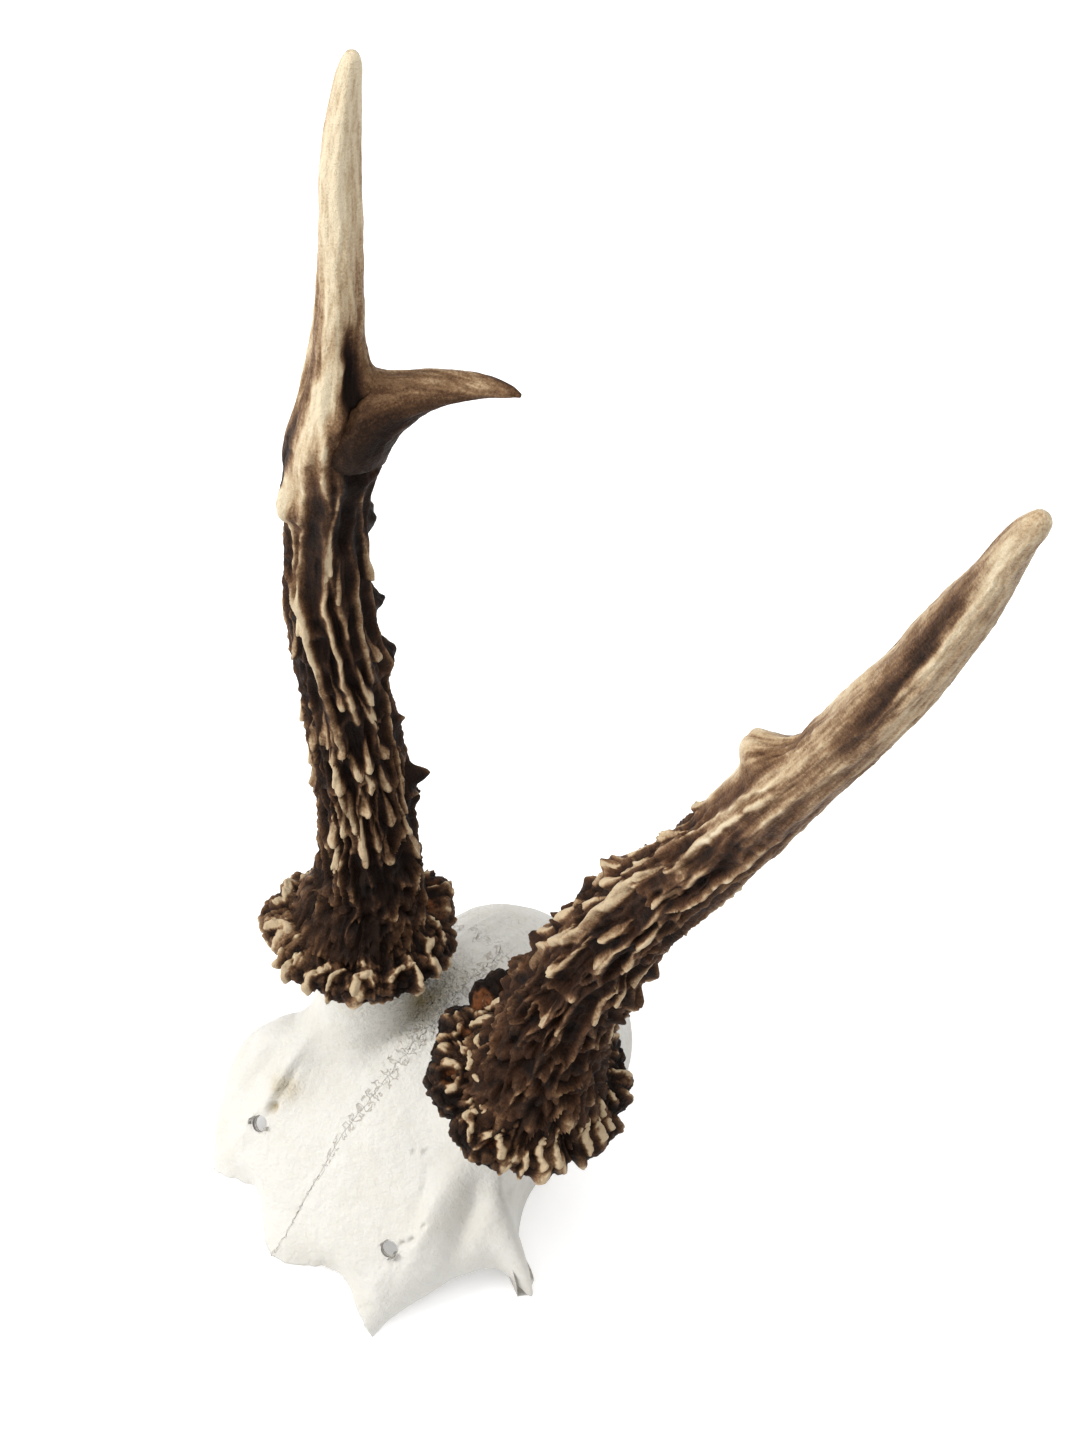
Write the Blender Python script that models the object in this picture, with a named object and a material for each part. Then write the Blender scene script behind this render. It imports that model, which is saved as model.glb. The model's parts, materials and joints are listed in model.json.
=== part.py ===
"""Pair of roebuck antlers on their sawn skull cap.

+X is the animal's left, +Y runs back along the skull and +Z is up. The cap stands on z = 0, on the
flat edge where the saw went through the braincase, with the forehead sloping down to the front.
The shapes are drawn with x = 0 on the skull's midline, and the whole is then centred over the
origin. All sizes are in metres.
"""
import math

import bmesh
import bpy
import numpy as np
from mathutils import Vector

GAP = 0.0003              # clearance kept between neighbouring solids

# Skull cap
BONE_THICKNESS = 0.0034
SUTURE_Y = 0.0600         # coronal suture, between the frontals and the parietals
CAP_ROWS = 27             # rows from the nose end to the back
SUTURE_ROW = 18           # the row that lies on the coronal suture
CAP_COLUMNS = 13          # columns from the midline to the edge
# Rows of the cap, nose end first: y and z on the midline and how boxy the row's section is, where
# 2 is an ellipse
CAP_MIDLINE = (
    (-0.0178, 0.0085, 2.6),
    (-0.0090, 0.0148, 2.8),
    (-0.0010, 0.0200, 3.2),
    (0.0080, 0.0262, 3.2),
    (0.0170, 0.0318, 2.9),
    (0.0260, 0.0368, 2.5),
    (0.0340, 0.0403, 2.4),
    (0.0420, 0.0432, 2.3),
    (0.0520, 0.0448, 2.1),
    (0.0600, 0.0438, 2.0),
    (0.0715, 0.0372, 2.0),
    (0.0790, 0.0262, 2.0),
    (0.0830, 0.0120, 2.0),
    (0.0838, 0.0000, 2.0),
)
# Outer ends of the same rows, x, y and z. The left orbit rim ends in a long process, and the
# right one's is broken short.
CAP_EDGE_LEFT = (
    (0.0270, -0.0140, 0.0000),
    (0.0278, -0.0078, 0.0036),
    (0.0304, 0.0002, 0.0066),
    (0.0345, 0.0085, 0.0100),
    (0.0380, 0.0150, 0.0104),
    (0.0462, 0.0176, 0.0006),
    (0.0372, 0.0225, 0.0000),
    (0.0300, 0.0330, 0.0000),
    (0.0286, 0.0470, 0.0000),
    (0.0280, 0.0600, 0.0000),
    (0.0260, 0.0700, 0.0000),
    (0.0215, 0.0768, 0.0000),
    (0.0170, 0.0800, 0.0000),
    (0.0140, 0.0816, 0.0000),
)
CAP_EDGE_RIGHT = (
    (-0.0258, -0.0122, 0.0006),
    (-0.0292, -0.0072, 0.0046),
    (-0.0334, -0.0008, 0.0066),
    (-0.0366, 0.0062, 0.0090),
    (-0.0382, 0.0126, 0.0098),
    (-0.0378, 0.0180, 0.0040),
    (-0.0336, 0.0235, 0.0000),
    (-0.0300, 0.0330, 0.0000),
    (-0.0286, 0.0470, 0.0000),
    (-0.0280, 0.0600, 0.0000),
    (-0.0260, 0.0700, 0.0000),
    (-0.0215, 0.0768, 0.0000),
    (-0.0170, 0.0800, 0.0000),
    (-0.0140, 0.0816, 0.0000),
)
NOTCH_DEPTH = 0.0062      # bite between the midline point and the front tip
NOTCH_AT = 0.52           # where the bite is, as a part of the half width
NOTCH_WIDTH = 0.34        # its width, as a part of the half width
NOTCH_REACH = 0.0100      # how far back the bite fades out
FORAMEN_RADIUS = 0.0019
FORAMEN = (0.0202, 0.0002)
FORAMEN_DRILL = (0.0, 0.04)  # heights between which it is drilled
FORAMEN_SIDES = 12
RIDGE_HEIGHT = 0.0016     # brow ridge from beside the foramen up to the pedicle
RIDGE_X = 0.0235
RIDGE_WIDTH = 0.0045
RIDGE_END_Y = 0.0365

# Pedicles, the bone pillars under the antlers: centres and radii, root first. Each one ends
# square below its antler's seat.
PEDICLE_RIGHT = (
    ((-0.0185, 0.0345, 0.0280), 0.0140),
    ((-0.0190, 0.0345, 0.0360), 0.0132),
    ((-0.0197, 0.0350, 0.0440), 0.0118),
    ((-0.0205, 0.0356, 0.0510), 0.0110),
)
PEDICLE_LEFT = (
    ((0.0190, 0.0365, 0.0280), 0.0140),
    ((0.0200, 0.0368, 0.0360), 0.0134),
    ((0.0212, 0.0372, 0.0440), 0.0120),
    ((0.0226, 0.0376, 0.0510), 0.0112),
)
PEDICLE_TOP_RADIUS = 0.0116
PEDICLE_SIDES = 24
COLLAR = 0.0025           # straight length under a seat
STUB_RINGS = 9

# Antler beams: centres and radii from the seat on the pedicle to the tip. The two widest places
# near the start are the coronet.
BEAM_RIGHT = (
    ((-0.0213, 0.0362, 0.0572), 0.0125),
    ((-0.0220, 0.0369, 0.0600), 0.0196),
    ((-0.0231, 0.0380, 0.0642), 0.0200),
    ((-0.0242, 0.0404, 0.0690), 0.0142),
    ((-0.0255, 0.0441, 0.0750), 0.0112),
    ((-0.0283, 0.0476, 0.0870), 0.0099),
    ((-0.0325, 0.0512, 0.1030), 0.0094),
    ((-0.0375, 0.0543, 0.1195), 0.0086),
    ((-0.0420, 0.0570, 0.1360), 0.0086),
    ((-0.0462, 0.0598, 0.1515), 0.0083),
    ((-0.0488, 0.0635, 0.1665), 0.0078),
    ((-0.0500, 0.0672, 0.1810), 0.0078),
    ((-0.0512, 0.0708, 0.1950), 0.0066),
    ((-0.0527, 0.0745, 0.2095), 0.0048),
    ((-0.0541, 0.0776, 0.2230), 0.0040),
    ((-0.0554, 0.0802, 0.2360), 0.0036),
    ((-0.0566, 0.0826, 0.2480), 0.0030),
    ((-0.0570, 0.0852, 0.2600), 0.0019),
    ((-0.0569, 0.0873, 0.2676), 0.0005),
)
BEAM_LEFT = (
    ((0.0242, 0.0380, 0.0575), 0.0125),
    ((0.0250, 0.0382, 0.0603), 0.0204),
    ((0.0260, 0.0386, 0.0646), 0.0210),
    ((0.0264, 0.0404, 0.0700), 0.0155),
    ((0.0262, 0.0436, 0.0770), 0.0122),
    ((0.0260, 0.0478, 0.0880), 0.0106),
    ((0.0272, 0.0535, 0.1025), 0.0096),
    ((0.0303, 0.0597, 0.1180), 0.0090),
    ((0.0345, 0.0648, 0.1320), 0.0083),
    ((0.0390, 0.0693, 0.1455), 0.0077),
    ((0.0438, 0.0737, 0.1600), 0.0073),
    ((0.0480, 0.0780, 0.1760), 0.0071),
    ((0.0525, 0.0820, 0.1900), 0.0061),
    ((0.0567, 0.0857, 0.2050), 0.0057),
    ((0.0602, 0.0886, 0.2196), 0.0052),
    ((0.0631, 0.0910, 0.2340), 0.0045),
    ((0.0654, 0.0927, 0.2477), 0.0035),
    ((0.0674, 0.0940, 0.2612), 0.0024),
    ((0.0695, 0.0948, 0.2696), 0.0005),
)
BEAM_SIDES = 20
BEAM_RINGS = 36
CORONET_LENGTH = 0.016    # length of the knobbly collar along the beam
CORONET_LOBES = 9
CORONET_RELIEF = 0.055
RIDGE_COUNT = 7           # long ridges down the beam
RIDGE_RELIEF = 0.045

# Small front knobs: where they start and end, and their radius at the root
KNOB_RIGHT = ((-0.0497, 0.0640, 0.1725), (-0.0545, 0.0594, 0.1750), 0.0046)
KNOB_LEFT = ((0.0477, 0.0780, 0.1740), (0.0414, 0.0790, 0.1786), 0.0052)
KNOB_TIP_RADIUS = 0.0012

# Rear tine of the right antler: the fork's boss on the beam, then the tine itself
FORK_BOSS = (
    ((-0.0500, 0.0678, 0.1862), 0.0048),
    ((-0.0478, 0.0708, 0.1918), 0.0066),
    ((-0.0449, 0.0756, 0.1962), 0.0056),
)
REAR_TINE = (
    ((-0.0424, 0.0791, 0.1984), 0.0046),
    ((-0.0390, 0.0828, 0.2003), 0.0035),
    ((-0.0350, 0.0862, 0.2019), 0.0027),
    ((-0.0315, 0.0883, 0.2029), 0.0020),
    ((-0.0280, 0.0898, 0.2036), 0.0012),
    ((-0.0257, 0.0905, 0.2039), 0.0004),
)
TINE_SIDES = 14
TINE_RINGS = 9

BONE_COLOUR = (0.80, 0.76, 0.66, 1.0)
HORN_COLOUR = (0.16, 0.09, 0.05, 1.0)
TINE_COLOUR = (0.42, 0.31, 0.19, 1.0)


def clear_scene():
    for obj in list(bpy.data.objects):
        bpy.data.objects.remove(obj, do_unlink=True)


def make_material(name, colour, roughness):
    material = bpy.data.materials.new(name)
    material.use_nodes = True
    shader = material.node_tree.nodes["Principled BSDF"]
    shader.inputs["Base Color"].default_value = colour
    shader.inputs["Roughness"].default_value = roughness
    shader.inputs["Metallic"].default_value = 0.0
    return material


def add_object(name, bm, material=None):
    """Turn a bmesh into a named object with its faces pointing out."""
    bmesh.ops.recalc_face_normals(bm, faces=bm.faces)
    mesh = bpy.data.meshes.new(name)
    bm.to_mesh(mesh)
    bm.free()
    obj = bpy.data.objects.new(name, mesh)
    bpy.context.scene.collection.objects.link(obj)
    if material is not None:
        mesh.materials.append(material)
    return obj


def apply_modifiers(obj):
    """Bake the modifier stack into the object's own mesh."""
    depsgraph = bpy.context.evaluated_depsgraph_get()
    baked = bpy.data.meshes.new_from_object(obj.evaluated_get(depsgraph))
    obj.modifiers.clear()
    obj.data = baked


def combine(obj, tool, operation):
    """Boolean obj with tool, then drop the tool."""
    modifier = obj.modifiers.new("combine", 'BOOLEAN')
    modifier.operation = operation
    modifier.solver = 'EXACT'
    modifier.object = tool
    apply_modifiers(obj)
    bpy.data.objects.remove(tool, do_unlink=True)


def smooth_track(rows, count):
    """Sample a Catmull-Rom spline through rows of numbers, evenly in row number."""
    rows = np.array(rows, dtype=float)
    padded = np.vstack([2 * rows[0] - rows[1], rows, 2 * rows[-1] - rows[-2]])
    samples = []
    for place in np.linspace(0.0, len(rows) - 1.0, count):
        start = min(int(place), len(rows) - 2)
        t = place - start
        p0, p1, p2, p3 = padded[start:start + 4]
        samples.append(0.5 * (2 * p1 + (p2 - p0) * t
                              + (2 * p0 - 5 * p1 + 4 * p2 - p3) * t ** 2
                              + (3 * p1 - p0 - 3 * p2 + p3) * t ** 3))
    return np.array(samples)


def bell(distance, width):
    return math.exp(-(distance / width) ** 2)


def cap_point(middle, edge, across):
    """Point of the cap's outer face, across = 0 on the midline and 1 at the edge."""
    mid_y, mid_z, boxy = middle
    edge_x, edge_y, edge_z = edge
    angle = across * math.pi / 2
    x_part = math.sin(angle) ** (2 / boxy) if across > 0 else 0.0
    z_part = max(math.cos(angle), 0.0) ** (2 / boxy)
    x = edge_x * x_part
    y = mid_y + (edge_y - mid_y) * x_part ** 2
    z = edge_z + (mid_z - edge_z) * z_part
    front = max(0.0, 1.0 - (mid_y - CAP_MIDLINE[0][0]) / NOTCH_REACH)
    y += NOTCH_DEPTH * front * bell(x_part - NOTCH_AT, NOTCH_WIDTH)
    if 0.0 < mid_y < RIDGE_END_Y:
        z += RIDGE_HEIGHT * bell(abs(x) - RIDGE_X, RIDGE_WIDTH) * math.sin(math.pi * mid_y / RIDGE_END_Y)
    return (x, y, z)


def cap_faces():
    """Outer and inner face of the whole cap, rows from the nose end, columns from right to left."""
    middles = smooth_track(CAP_MIDLINE, CAP_ROWS)
    lefts = smooth_track(CAP_EDGE_LEFT, CAP_ROWS)
    rights = smooth_track(CAP_EDGE_RIGHT, CAP_ROWS)
    steps = np.linspace(0.0, 1.0, CAP_COLUMNS)
    outer = np.array([
        [cap_point(middle, right, step) for step in steps[:0:-1]]
        + [cap_point(middle, left, step) for step in steps]
        for middle, left, right in zip(middles, lefts, rights)
    ])
    outer[..., 2] = np.maximum(outer[..., 2], 0.0)
    down_rows, down_columns = np.gradient(outer, axis=0), np.gradient(outer, axis=1)
    normals = np.cross(down_columns, down_rows)
    normals /= np.linalg.norm(normals, axis=2, keepdims=True)
    inner = outer - normals * BONE_THICKNESS
    inner[..., 2] = np.where(outer[..., 2] == 0.0, 0.0, np.maximum(inner[..., 2], 0.0))
    return outer, inner


def cap_shell(name, rows, columns, material):
    """Closed shell from a block of the cap's grid, drawn back half a gap from the sutures."""
    faces = []
    for face in cap_faces():
        block = face[rows, columns].copy()
        if columns.start == CAP_COLUMNS - 1:
            block[:, 0, 0] = GAP / 2
        if columns.stop == CAP_COLUMNS:
            block[:, -1, 0] = -GAP / 2
        if rows.start > 0:
            block[0, :, 1] = SUTURE_Y + GAP / 2
        if rows.stop < CAP_ROWS:
            block[-1, :, 1] = SUTURE_Y - GAP / 2
        faces.append(block)
    outer, inner = faces
    high, wide = outer.shape[:2]
    bm = bmesh.new()
    top = [[bm.verts.new(point) for point in row] for row in outer]
    low = [[bm.verts.new(point) for point in row] for row in inner]
    for row in range(high - 1):
        for col in range(wide - 1):
            bm.faces.new((top[row][col], top[row][col + 1], top[row + 1][col + 1], top[row + 1][col]))
            bm.faces.new((low[row][col], low[row + 1][col], low[row + 1][col + 1], low[row][col + 1]))
    rim = [(0, col) for col in range(wide)]
    rim += [(row, wide - 1) for row in range(1, high)]
    rim += [(high - 1, col) for col in range(wide - 2, -1, -1)]
    rim += [(row, 0) for row in range(high - 2, 0, -1)]
    for here, after in zip(rim, rim[1:] + rim[:1]):
        bm.faces.new((top[here[0]][here[1]], low[here[0]][here[1]],
                      low[after[0]][after[1]], top[after[0]][after[1]]))
    return add_object(name, bm, material)


def tube(name, track, sides, swell=None, material=None):
    """Closed tube along a track of (x, y, z, radius) rows; swell scales the radius by ring and angle."""
    centres = [Vector(row[:3]) for row in track]
    bm = bmesh.new()
    rings = []
    aim = (centres[1] - centres[0]).normalized()
    out = Vector((1, 0, 0)) - aim * aim.x
    out.normalize()
    for place, centre in enumerate(centres):
        ahead = centres[min(place + 1, len(centres) - 1)]
        behind = centres[max(place - 1, 0)]
        aim = (ahead - behind).normalized()
        out = (out - aim * out.dot(aim)).normalized()
        across = aim.cross(out)
        ring = []
        for corner in range(sides):
            angle = 2 * math.pi * corner / sides
            radius = track[place][3] * (swell(place, angle) if swell else 1.0)
            direction = out * math.cos(angle) + across * math.sin(angle)
            ring.append(bm.verts.new(centre + direction * radius))
        rings.append(ring)
    for ring, next_ring in zip(rings, rings[1:]):
        for corner in range(sides):
            after = (corner + 1) % sides
            bm.faces.new((ring[corner], ring[after], next_ring[after], next_ring[corner]))
    bm.faces.new(rings[0][::-1])
    bm.faces.new(rings[-1])
    return add_object(name, bm, material)


def flat_rows(rows):
    return [(*centre, radius) for centre, radius in rows]


def squared_end(rows, seat, axis, radius):
    """Track of a stub that ends at the seat, square to the axis, after a short straight collar."""
    collar = (*(seat - axis * COLLAR), radius)
    end = (*seat, radius)
    return np.vstack([smooth_track(flat_rows(rows) + [collar], STUB_RINGS), end])


def start_axis(rows):
    """Place and direction of the first segment of a row of centres."""
    seat = Vector(rows[0][0])
    return seat, (Vector(rows[1][0]) - seat).normalized()


def make_frontal(name, side, pedicle, beam, material):
    """Half of the forehead with its pedicle, brow foramen and orbit rim."""
    columns = slice(CAP_COLUMNS - 1, 2 * CAP_COLUMNS - 1) if side > 0 else slice(0, CAP_COLUMNS)
    obj = cap_shell(name, slice(0, SUTURE_ROW + 1), columns, material)
    seat, axis = start_axis(beam)
    track = squared_end(pedicle, seat - axis * GAP, axis, PEDICLE_TOP_RADIUS)
    combine(obj, tube("pillar", track, PEDICLE_SIDES), 'UNION')
    drill = [(side * FORAMEN[0], FORAMEN[1], height, FORAMEN_RADIUS) for height in FORAMEN_DRILL]
    combine(obj, tube("drill", drill, FORAMEN_SIDES), 'DIFFERENCE')
    return obj


def make_parietal(name, material):
    return cap_shell(name, slice(SUTURE_ROW, CAP_ROWS), slice(0, 2 * CAP_COLUMNS - 1), material)


def beam_swell(track):
    """Radius factor of an antler: knobs round the coronet, then long ridges that die out."""
    centres = np.array([row[:3] for row in track])
    along = np.concatenate([[0.0], np.cumsum(np.linalg.norm(np.diff(centres, axis=0), axis=1))])

    def factor(place, angle):
        if along[place] == 0.0:
            return 1.0
        if along[place] < CORONET_LENGTH:
            return 1.0 + CORONET_RELIEF * math.cos(CORONET_LOBES * angle)
        fade = max(0.0, 1.0 - along[place] / (0.75 * along[-1]))
        return 1.0 + RIDGE_RELIEF * fade * math.cos(RIDGE_COUNT * angle + place * 0.5)

    return factor


def make_antler(name, rows, knob, material):
    seat = flat_rows(rows)[0]
    track = np.vstack([seat, smooth_track(flat_rows(rows)[1:], BEAM_RINGS)])
    obj = tube(name, track, BEAM_SIDES, beam_swell(track), material)
    root, point, radius = knob
    stub = [(*root, radius), (*point, KNOB_TIP_RADIUS)]
    combine(obj, tube("knob", smooth_track(stub, 3), TINE_SIDES), 'UNION')
    return obj


def make_forked_antler(name, rows, knob, material):
    obj = make_antler(name, rows, knob, material)
    root, axis = start_axis(REAR_TINE)
    track = squared_end(FORK_BOSS, root, axis, REAR_TINE[0][1])
    combine(obj, tube("boss", track, TINE_SIDES), 'UNION')
    return obj


def make_rear_tine(name, material):
    """The tine starts a gap beyond the flat end of the fork's boss."""
    root, axis = start_axis(REAR_TINE)
    start = (*(root + axis * GAP), REAR_TINE[0][1])
    track = np.vstack([start, smooth_track(flat_rows(REAR_TINE)[1:], TINE_RINGS)])
    return tube(name, track, TINE_SIDES, None, material)


def centre_on_origin(objects):
    """Hang everything on an empty that puts the middle of the base over the origin."""
    corners = np.array([obj.matrix_world @ vert.co for obj in objects for vert in obj.data.vertices])
    middle = (corners.min(axis=0) + corners.max(axis=0)) / 2
    stand = bpy.data.objects.new("stand", None)
    bpy.context.scene.collection.objects.link(stand)
    stand.location = (-middle[0], -middle[1], -corners[:, 2].min())
    for obj in objects:
        obj.parent = stand


def main():
    clear_scene()
    bone = make_material("bleached_bone", BONE_COLOUR, 0.55)
    horn = make_material("beam_horn", HORN_COLOUR, 0.6)
    ivory = make_material("tine_horn", TINE_COLOUR, 0.45)
    centre_on_origin([
        make_frontal("frontal_bone_right", -1, PEDICLE_RIGHT, BEAM_RIGHT, bone),
        make_frontal("frontal_bone_left", 1, PEDICLE_LEFT, BEAM_LEFT, bone),
        make_parietal("parietal_bone", bone),
        make_forked_antler("antler_right", BEAM_RIGHT, KNOB_RIGHT, horn),
        make_antler("antler_left", BEAM_LEFT, KNOB_LEFT, horn),
        make_rear_tine("rear_tine_right", ivory),
    ])


main()
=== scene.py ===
import json
from math import cos, log, pi, radians, sin

import bpy
import numpy as np
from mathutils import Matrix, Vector

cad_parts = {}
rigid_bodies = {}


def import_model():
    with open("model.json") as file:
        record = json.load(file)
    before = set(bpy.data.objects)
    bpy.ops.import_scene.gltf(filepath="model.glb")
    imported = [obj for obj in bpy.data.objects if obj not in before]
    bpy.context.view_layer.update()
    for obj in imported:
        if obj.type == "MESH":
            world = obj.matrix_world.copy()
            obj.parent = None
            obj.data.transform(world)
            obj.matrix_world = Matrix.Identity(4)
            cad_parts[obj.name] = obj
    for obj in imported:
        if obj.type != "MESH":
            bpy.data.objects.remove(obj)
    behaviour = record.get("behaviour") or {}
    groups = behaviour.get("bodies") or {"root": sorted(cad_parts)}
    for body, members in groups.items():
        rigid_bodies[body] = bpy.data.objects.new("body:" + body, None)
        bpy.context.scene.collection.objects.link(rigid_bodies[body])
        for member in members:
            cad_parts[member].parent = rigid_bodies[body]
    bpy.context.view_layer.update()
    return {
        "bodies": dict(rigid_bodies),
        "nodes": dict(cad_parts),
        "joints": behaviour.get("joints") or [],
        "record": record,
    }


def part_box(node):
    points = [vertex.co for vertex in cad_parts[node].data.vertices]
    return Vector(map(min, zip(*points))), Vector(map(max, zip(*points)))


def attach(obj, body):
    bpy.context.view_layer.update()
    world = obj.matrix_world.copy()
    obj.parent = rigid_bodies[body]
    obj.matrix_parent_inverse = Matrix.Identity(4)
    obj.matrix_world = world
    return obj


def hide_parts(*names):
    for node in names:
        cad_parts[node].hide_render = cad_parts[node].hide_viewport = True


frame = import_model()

# Roe-buck antlers on their sawn skull cap.
# Every table is in millimetres from the middle of the skull: x to the animal's left, y back, z up
# from the sawn edge. The places on an antler are millimetres up it from its seat, with degrees
# round it: 0 is the camera's right, -90 faces the camera.
mm = 0.001
capBack = 83.8                           # y of the cap's rear edge in the tables
capLow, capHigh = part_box("parietal_bone")
origin = np.array([(capLow.x + capHigh.x) / 2, capHigh.y - capBack * mm, 0.0])

viewer = {
    "azimuth": 43.75,
    "elevation": 63.58,
    "distance": 0.5,
    "aim": (-0.01357, 0.03753, 0.12458),
    "lens": 65.0,
}
turnZero = np.array([cos(radians(viewer["azimuth"])), sin(radians(viewer["azimuth"])), 0.0])


# Numbers and surfaces

def smoothStep(value, low, high):
    t = np.clip((value - low) / (high - low), 0.0, 1.0)
    return t * t * (3 - 2 * t)


def bell(distance, width):
    return np.exp(-(distance / width) ** 2)


def wrapAngle(angle):
    return (angle + pi) % (2 * pi) - pi


def turnBell(angle, degrees, spread):
    return bell(wrapAngle(angle - radians(degrees)), radians(spread))


def unit(vectors):
    return vectors / np.maximum(np.linalg.norm(vectors, axis=-1, keepdims=True), 1e-9)


def rowsAt(rows, places):
    # Catmull-Rom curve through the rows, read at any row number
    rows = np.array(rows, float)
    padded = np.vstack([2 * rows[0] - rows[1], rows, 2 * rows[-1] - rows[-2]])
    start = np.clip(places.astype(int), 0, len(rows) - 2)
    t = (places - start)[:, None]
    p0, p1, p2, p3 = (padded[start + k] for k in range(4))
    return 0.5 * (2 * p1 + (p2 - p0) * t + (2 * p0 - 5 * p1 + 4 * p2 - p3) * t ** 2
                  + (3 * p1 - p0 - 3 * p2 + p3) * t ** 3)


def evenTrack(rows, count, dims=3):
    # The same curve at even steps of its length, and that length at each step
    fine = rowsAt(rows, np.linspace(0, len(rows) - 1, 40 * len(rows)))
    steps = np.linalg.norm(np.diff(fine[:, :dims], axis=0), axis=1)
    along = np.concatenate([[0.0], np.cumsum(steps)])
    places = np.linspace(0.0, along[-1], count)
    return np.stack([np.interp(places, along, column) for column in fine.T], 1), places


def pathFrames(centres):
    # Direction of the path, the side that faces the camera's right, and the third axis
    ahead = unit(np.gradient(centres, axis=0))
    side = unit(turnZero - ahead * (ahead @ turnZero)[:, None])
    return ahead, side, np.cross(ahead, side)


randomTable = np.random.default_rng(11).random(4096)


def cellRandom(cell, seed):
    # One fixed random number for each cell of the lattice
    key = (cell[..., 0] * 73856093) ^ (cell[..., 1] * 19349663) ^ (cell[..., 2] * 83492791)
    return randomTable[(key + seed * 7919 + (key >> 12)) & 4095]


def softNoise(points, size, seed=0):
    # Random value at each lattice corner, blended across the cell with smooth weights, -1 to 1
    place = points / size + seed * 3.7
    cell = np.floor(place).astype(np.int64)
    t = place - cell
    t = t * t * (3 - 2 * t)
    total = np.zeros(points.shape[:-1])
    for corner in np.ndindex(2, 2, 2):
        weight = np.prod(np.where(np.array(corner) == 1, t, 1 - t), axis=-1)
        total += weight * cellRandom(cell + np.array(corner), seed)
    return total * 2 - 1


def layeredNoise(points, size, seed=0, layers=3):
    # Each layer half the size and half the strength of the one before
    return sum(softNoise(points, size / 2 ** k, seed + k) * 0.5 ** k for k in range(layers))


def pebbles(points, size, seed=0, fill=0.62):
    # Half balls round one random point per cell, 0 between them and 1 on top
    place = points / size
    cell = np.floor(place).astype(np.int64)
    nearest = np.full(points.shape[:-1], 9.0)
    for corner in np.ndindex(3, 3, 3):
        there = cell + np.array(corner) - 1
        spot = there + np.stack([cellRandom(there, seed + k) for k in range(3)], -1)
        nearest = np.minimum(nearest, np.linalg.norm(place - spot, axis=-1))
    return np.sqrt(np.clip(1 - (nearest / fill) ** 2, 0.0, 1.0))


def trackDistance(points, track):
    # Distance to the nearest ball of a row of balls, below zero inside
    best = np.full(points.shape[:-1], 1e9)
    for x, y, z, radius in track:
        best = np.minimum(best, np.linalg.norm(points - (x, y, z), axis=-1) - radius)
    return best


def filletRise(distance, size):
    # Rise of a surface towards a crossing one, so that the two meet in a smooth hollow: the exact
    # blend -size*ln(1 - e^(-distance/size)), and past the meeting line it sinks again, out of sight
    meet = size * log(2)
    rise = -size * np.log(1 - np.exp(-np.maximum(distance, meet) / size))
    return np.where(distance > meet, rise, meet - 0.45 * np.minimum(meet - distance, 6.0))


def tubeFaces(rows, columns):
    # Closed round, with a fan at each end; the two last points are the ends' middles
    index = np.arange(rows * columns).reshape(rows, columns)
    here, after = index[:-1], index[1:]
    quads = np.stack([here, np.roll(here, -1, 1), np.roll(after, -1, 1), after], -1).reshape(-1, 4)
    first = np.full(columns, rows * columns)
    fans = np.concatenate([
        np.stack([first, np.roll(index[0], -1), index[0]], 1),
        np.stack([first + 1, index[-1], np.roll(index[-1], -1)], 1),
    ])
    return [quads, fans]


def closeEnds(grid):
    ends = np.stack([grid[0].mean(axis=0), grid[-1].mean(axis=0)])
    return np.concatenate([grid.reshape(-1, grid.shape[-1]), ends])


def addObject(name, data):
    thing = bpy.data.objects.new(name, data)
    bpy.context.scene.collection.objects.link(thing)
    return thing


def buildPiece(name, points, faces, values, material, slotName, *nodes):
    # A mesh from whole arrays, turned so that its faces look out
    volume = 0.0
    for block in faces:
        for k in range(1, block.shape[1] - 1):
            a, b, c = points[block[:, 0]], points[block[:, k]], points[block[:, k + 1]]
            volume += (a * np.cross(b, c)).sum()
    if volume < 0:
        faces = [block[:, ::-1] for block in faces]
    corners = np.concatenate([block.ravel() for block in faces]).astype(np.int32)
    sizes = np.concatenate([np.full(len(block), block.shape[1]) for block in faces])
    mesh = bpy.data.meshes.new(name)
    mesh.vertices.add(len(points))
    mesh.vertices.foreach_set("co", (points * mm + origin).astype(np.float32).ravel())
    mesh.loops.add(len(corners))
    mesh.loops.foreach_set("vertex_index", corners)
    mesh.polygons.add(len(sizes))
    mesh.polygons.foreach_set("loop_start", (np.cumsum(sizes) - sizes).astype(np.int32))
    mesh.polygons.foreach_set("use_smooth", np.ones(len(sizes), bool))
    for key, value in values.items():
        kind = "FLOAT_VECTOR" if value.ndim == 2 else "FLOAT"
        layer = mesh.attributes.new(key, kind, 'POINT')
        layer.data.foreach_set("vector" if value.ndim == 2 else "value",
                               value.astype(np.float32).ravel())
    mesh.update(calc_edges=True)
    mesh.validate()
    mesh.materials.append(material)
    piece = addObject(name, mesh)
    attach(piece, "root")
    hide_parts(*nodes)
    print(name, len(points), "points")
    return piece


# Materials

def newMaterial(name):
    material = bpy.data.materials.new(name)
    material.use_nodes = True
    return material, material.node_tree, material.node_tree.nodes["Principled BSDF"]


def attributeNode(tree, name, output="Fac"):
    node = tree.nodes.new("ShaderNodeAttribute")
    node.attribute_name = name
    return node.outputs[output]


def noiseNode(tree, vector, scale, detail=4.0, roughness=0.55):
    node = tree.nodes.new("ShaderNodeTexNoise")
    node.inputs["Scale"].default_value = scale
    node.inputs["Detail"].default_value = detail
    node.inputs["Roughness"].default_value = roughness
    tree.links.new(vector, node.inputs["Vector"])
    return node.outputs["Fac"]


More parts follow.
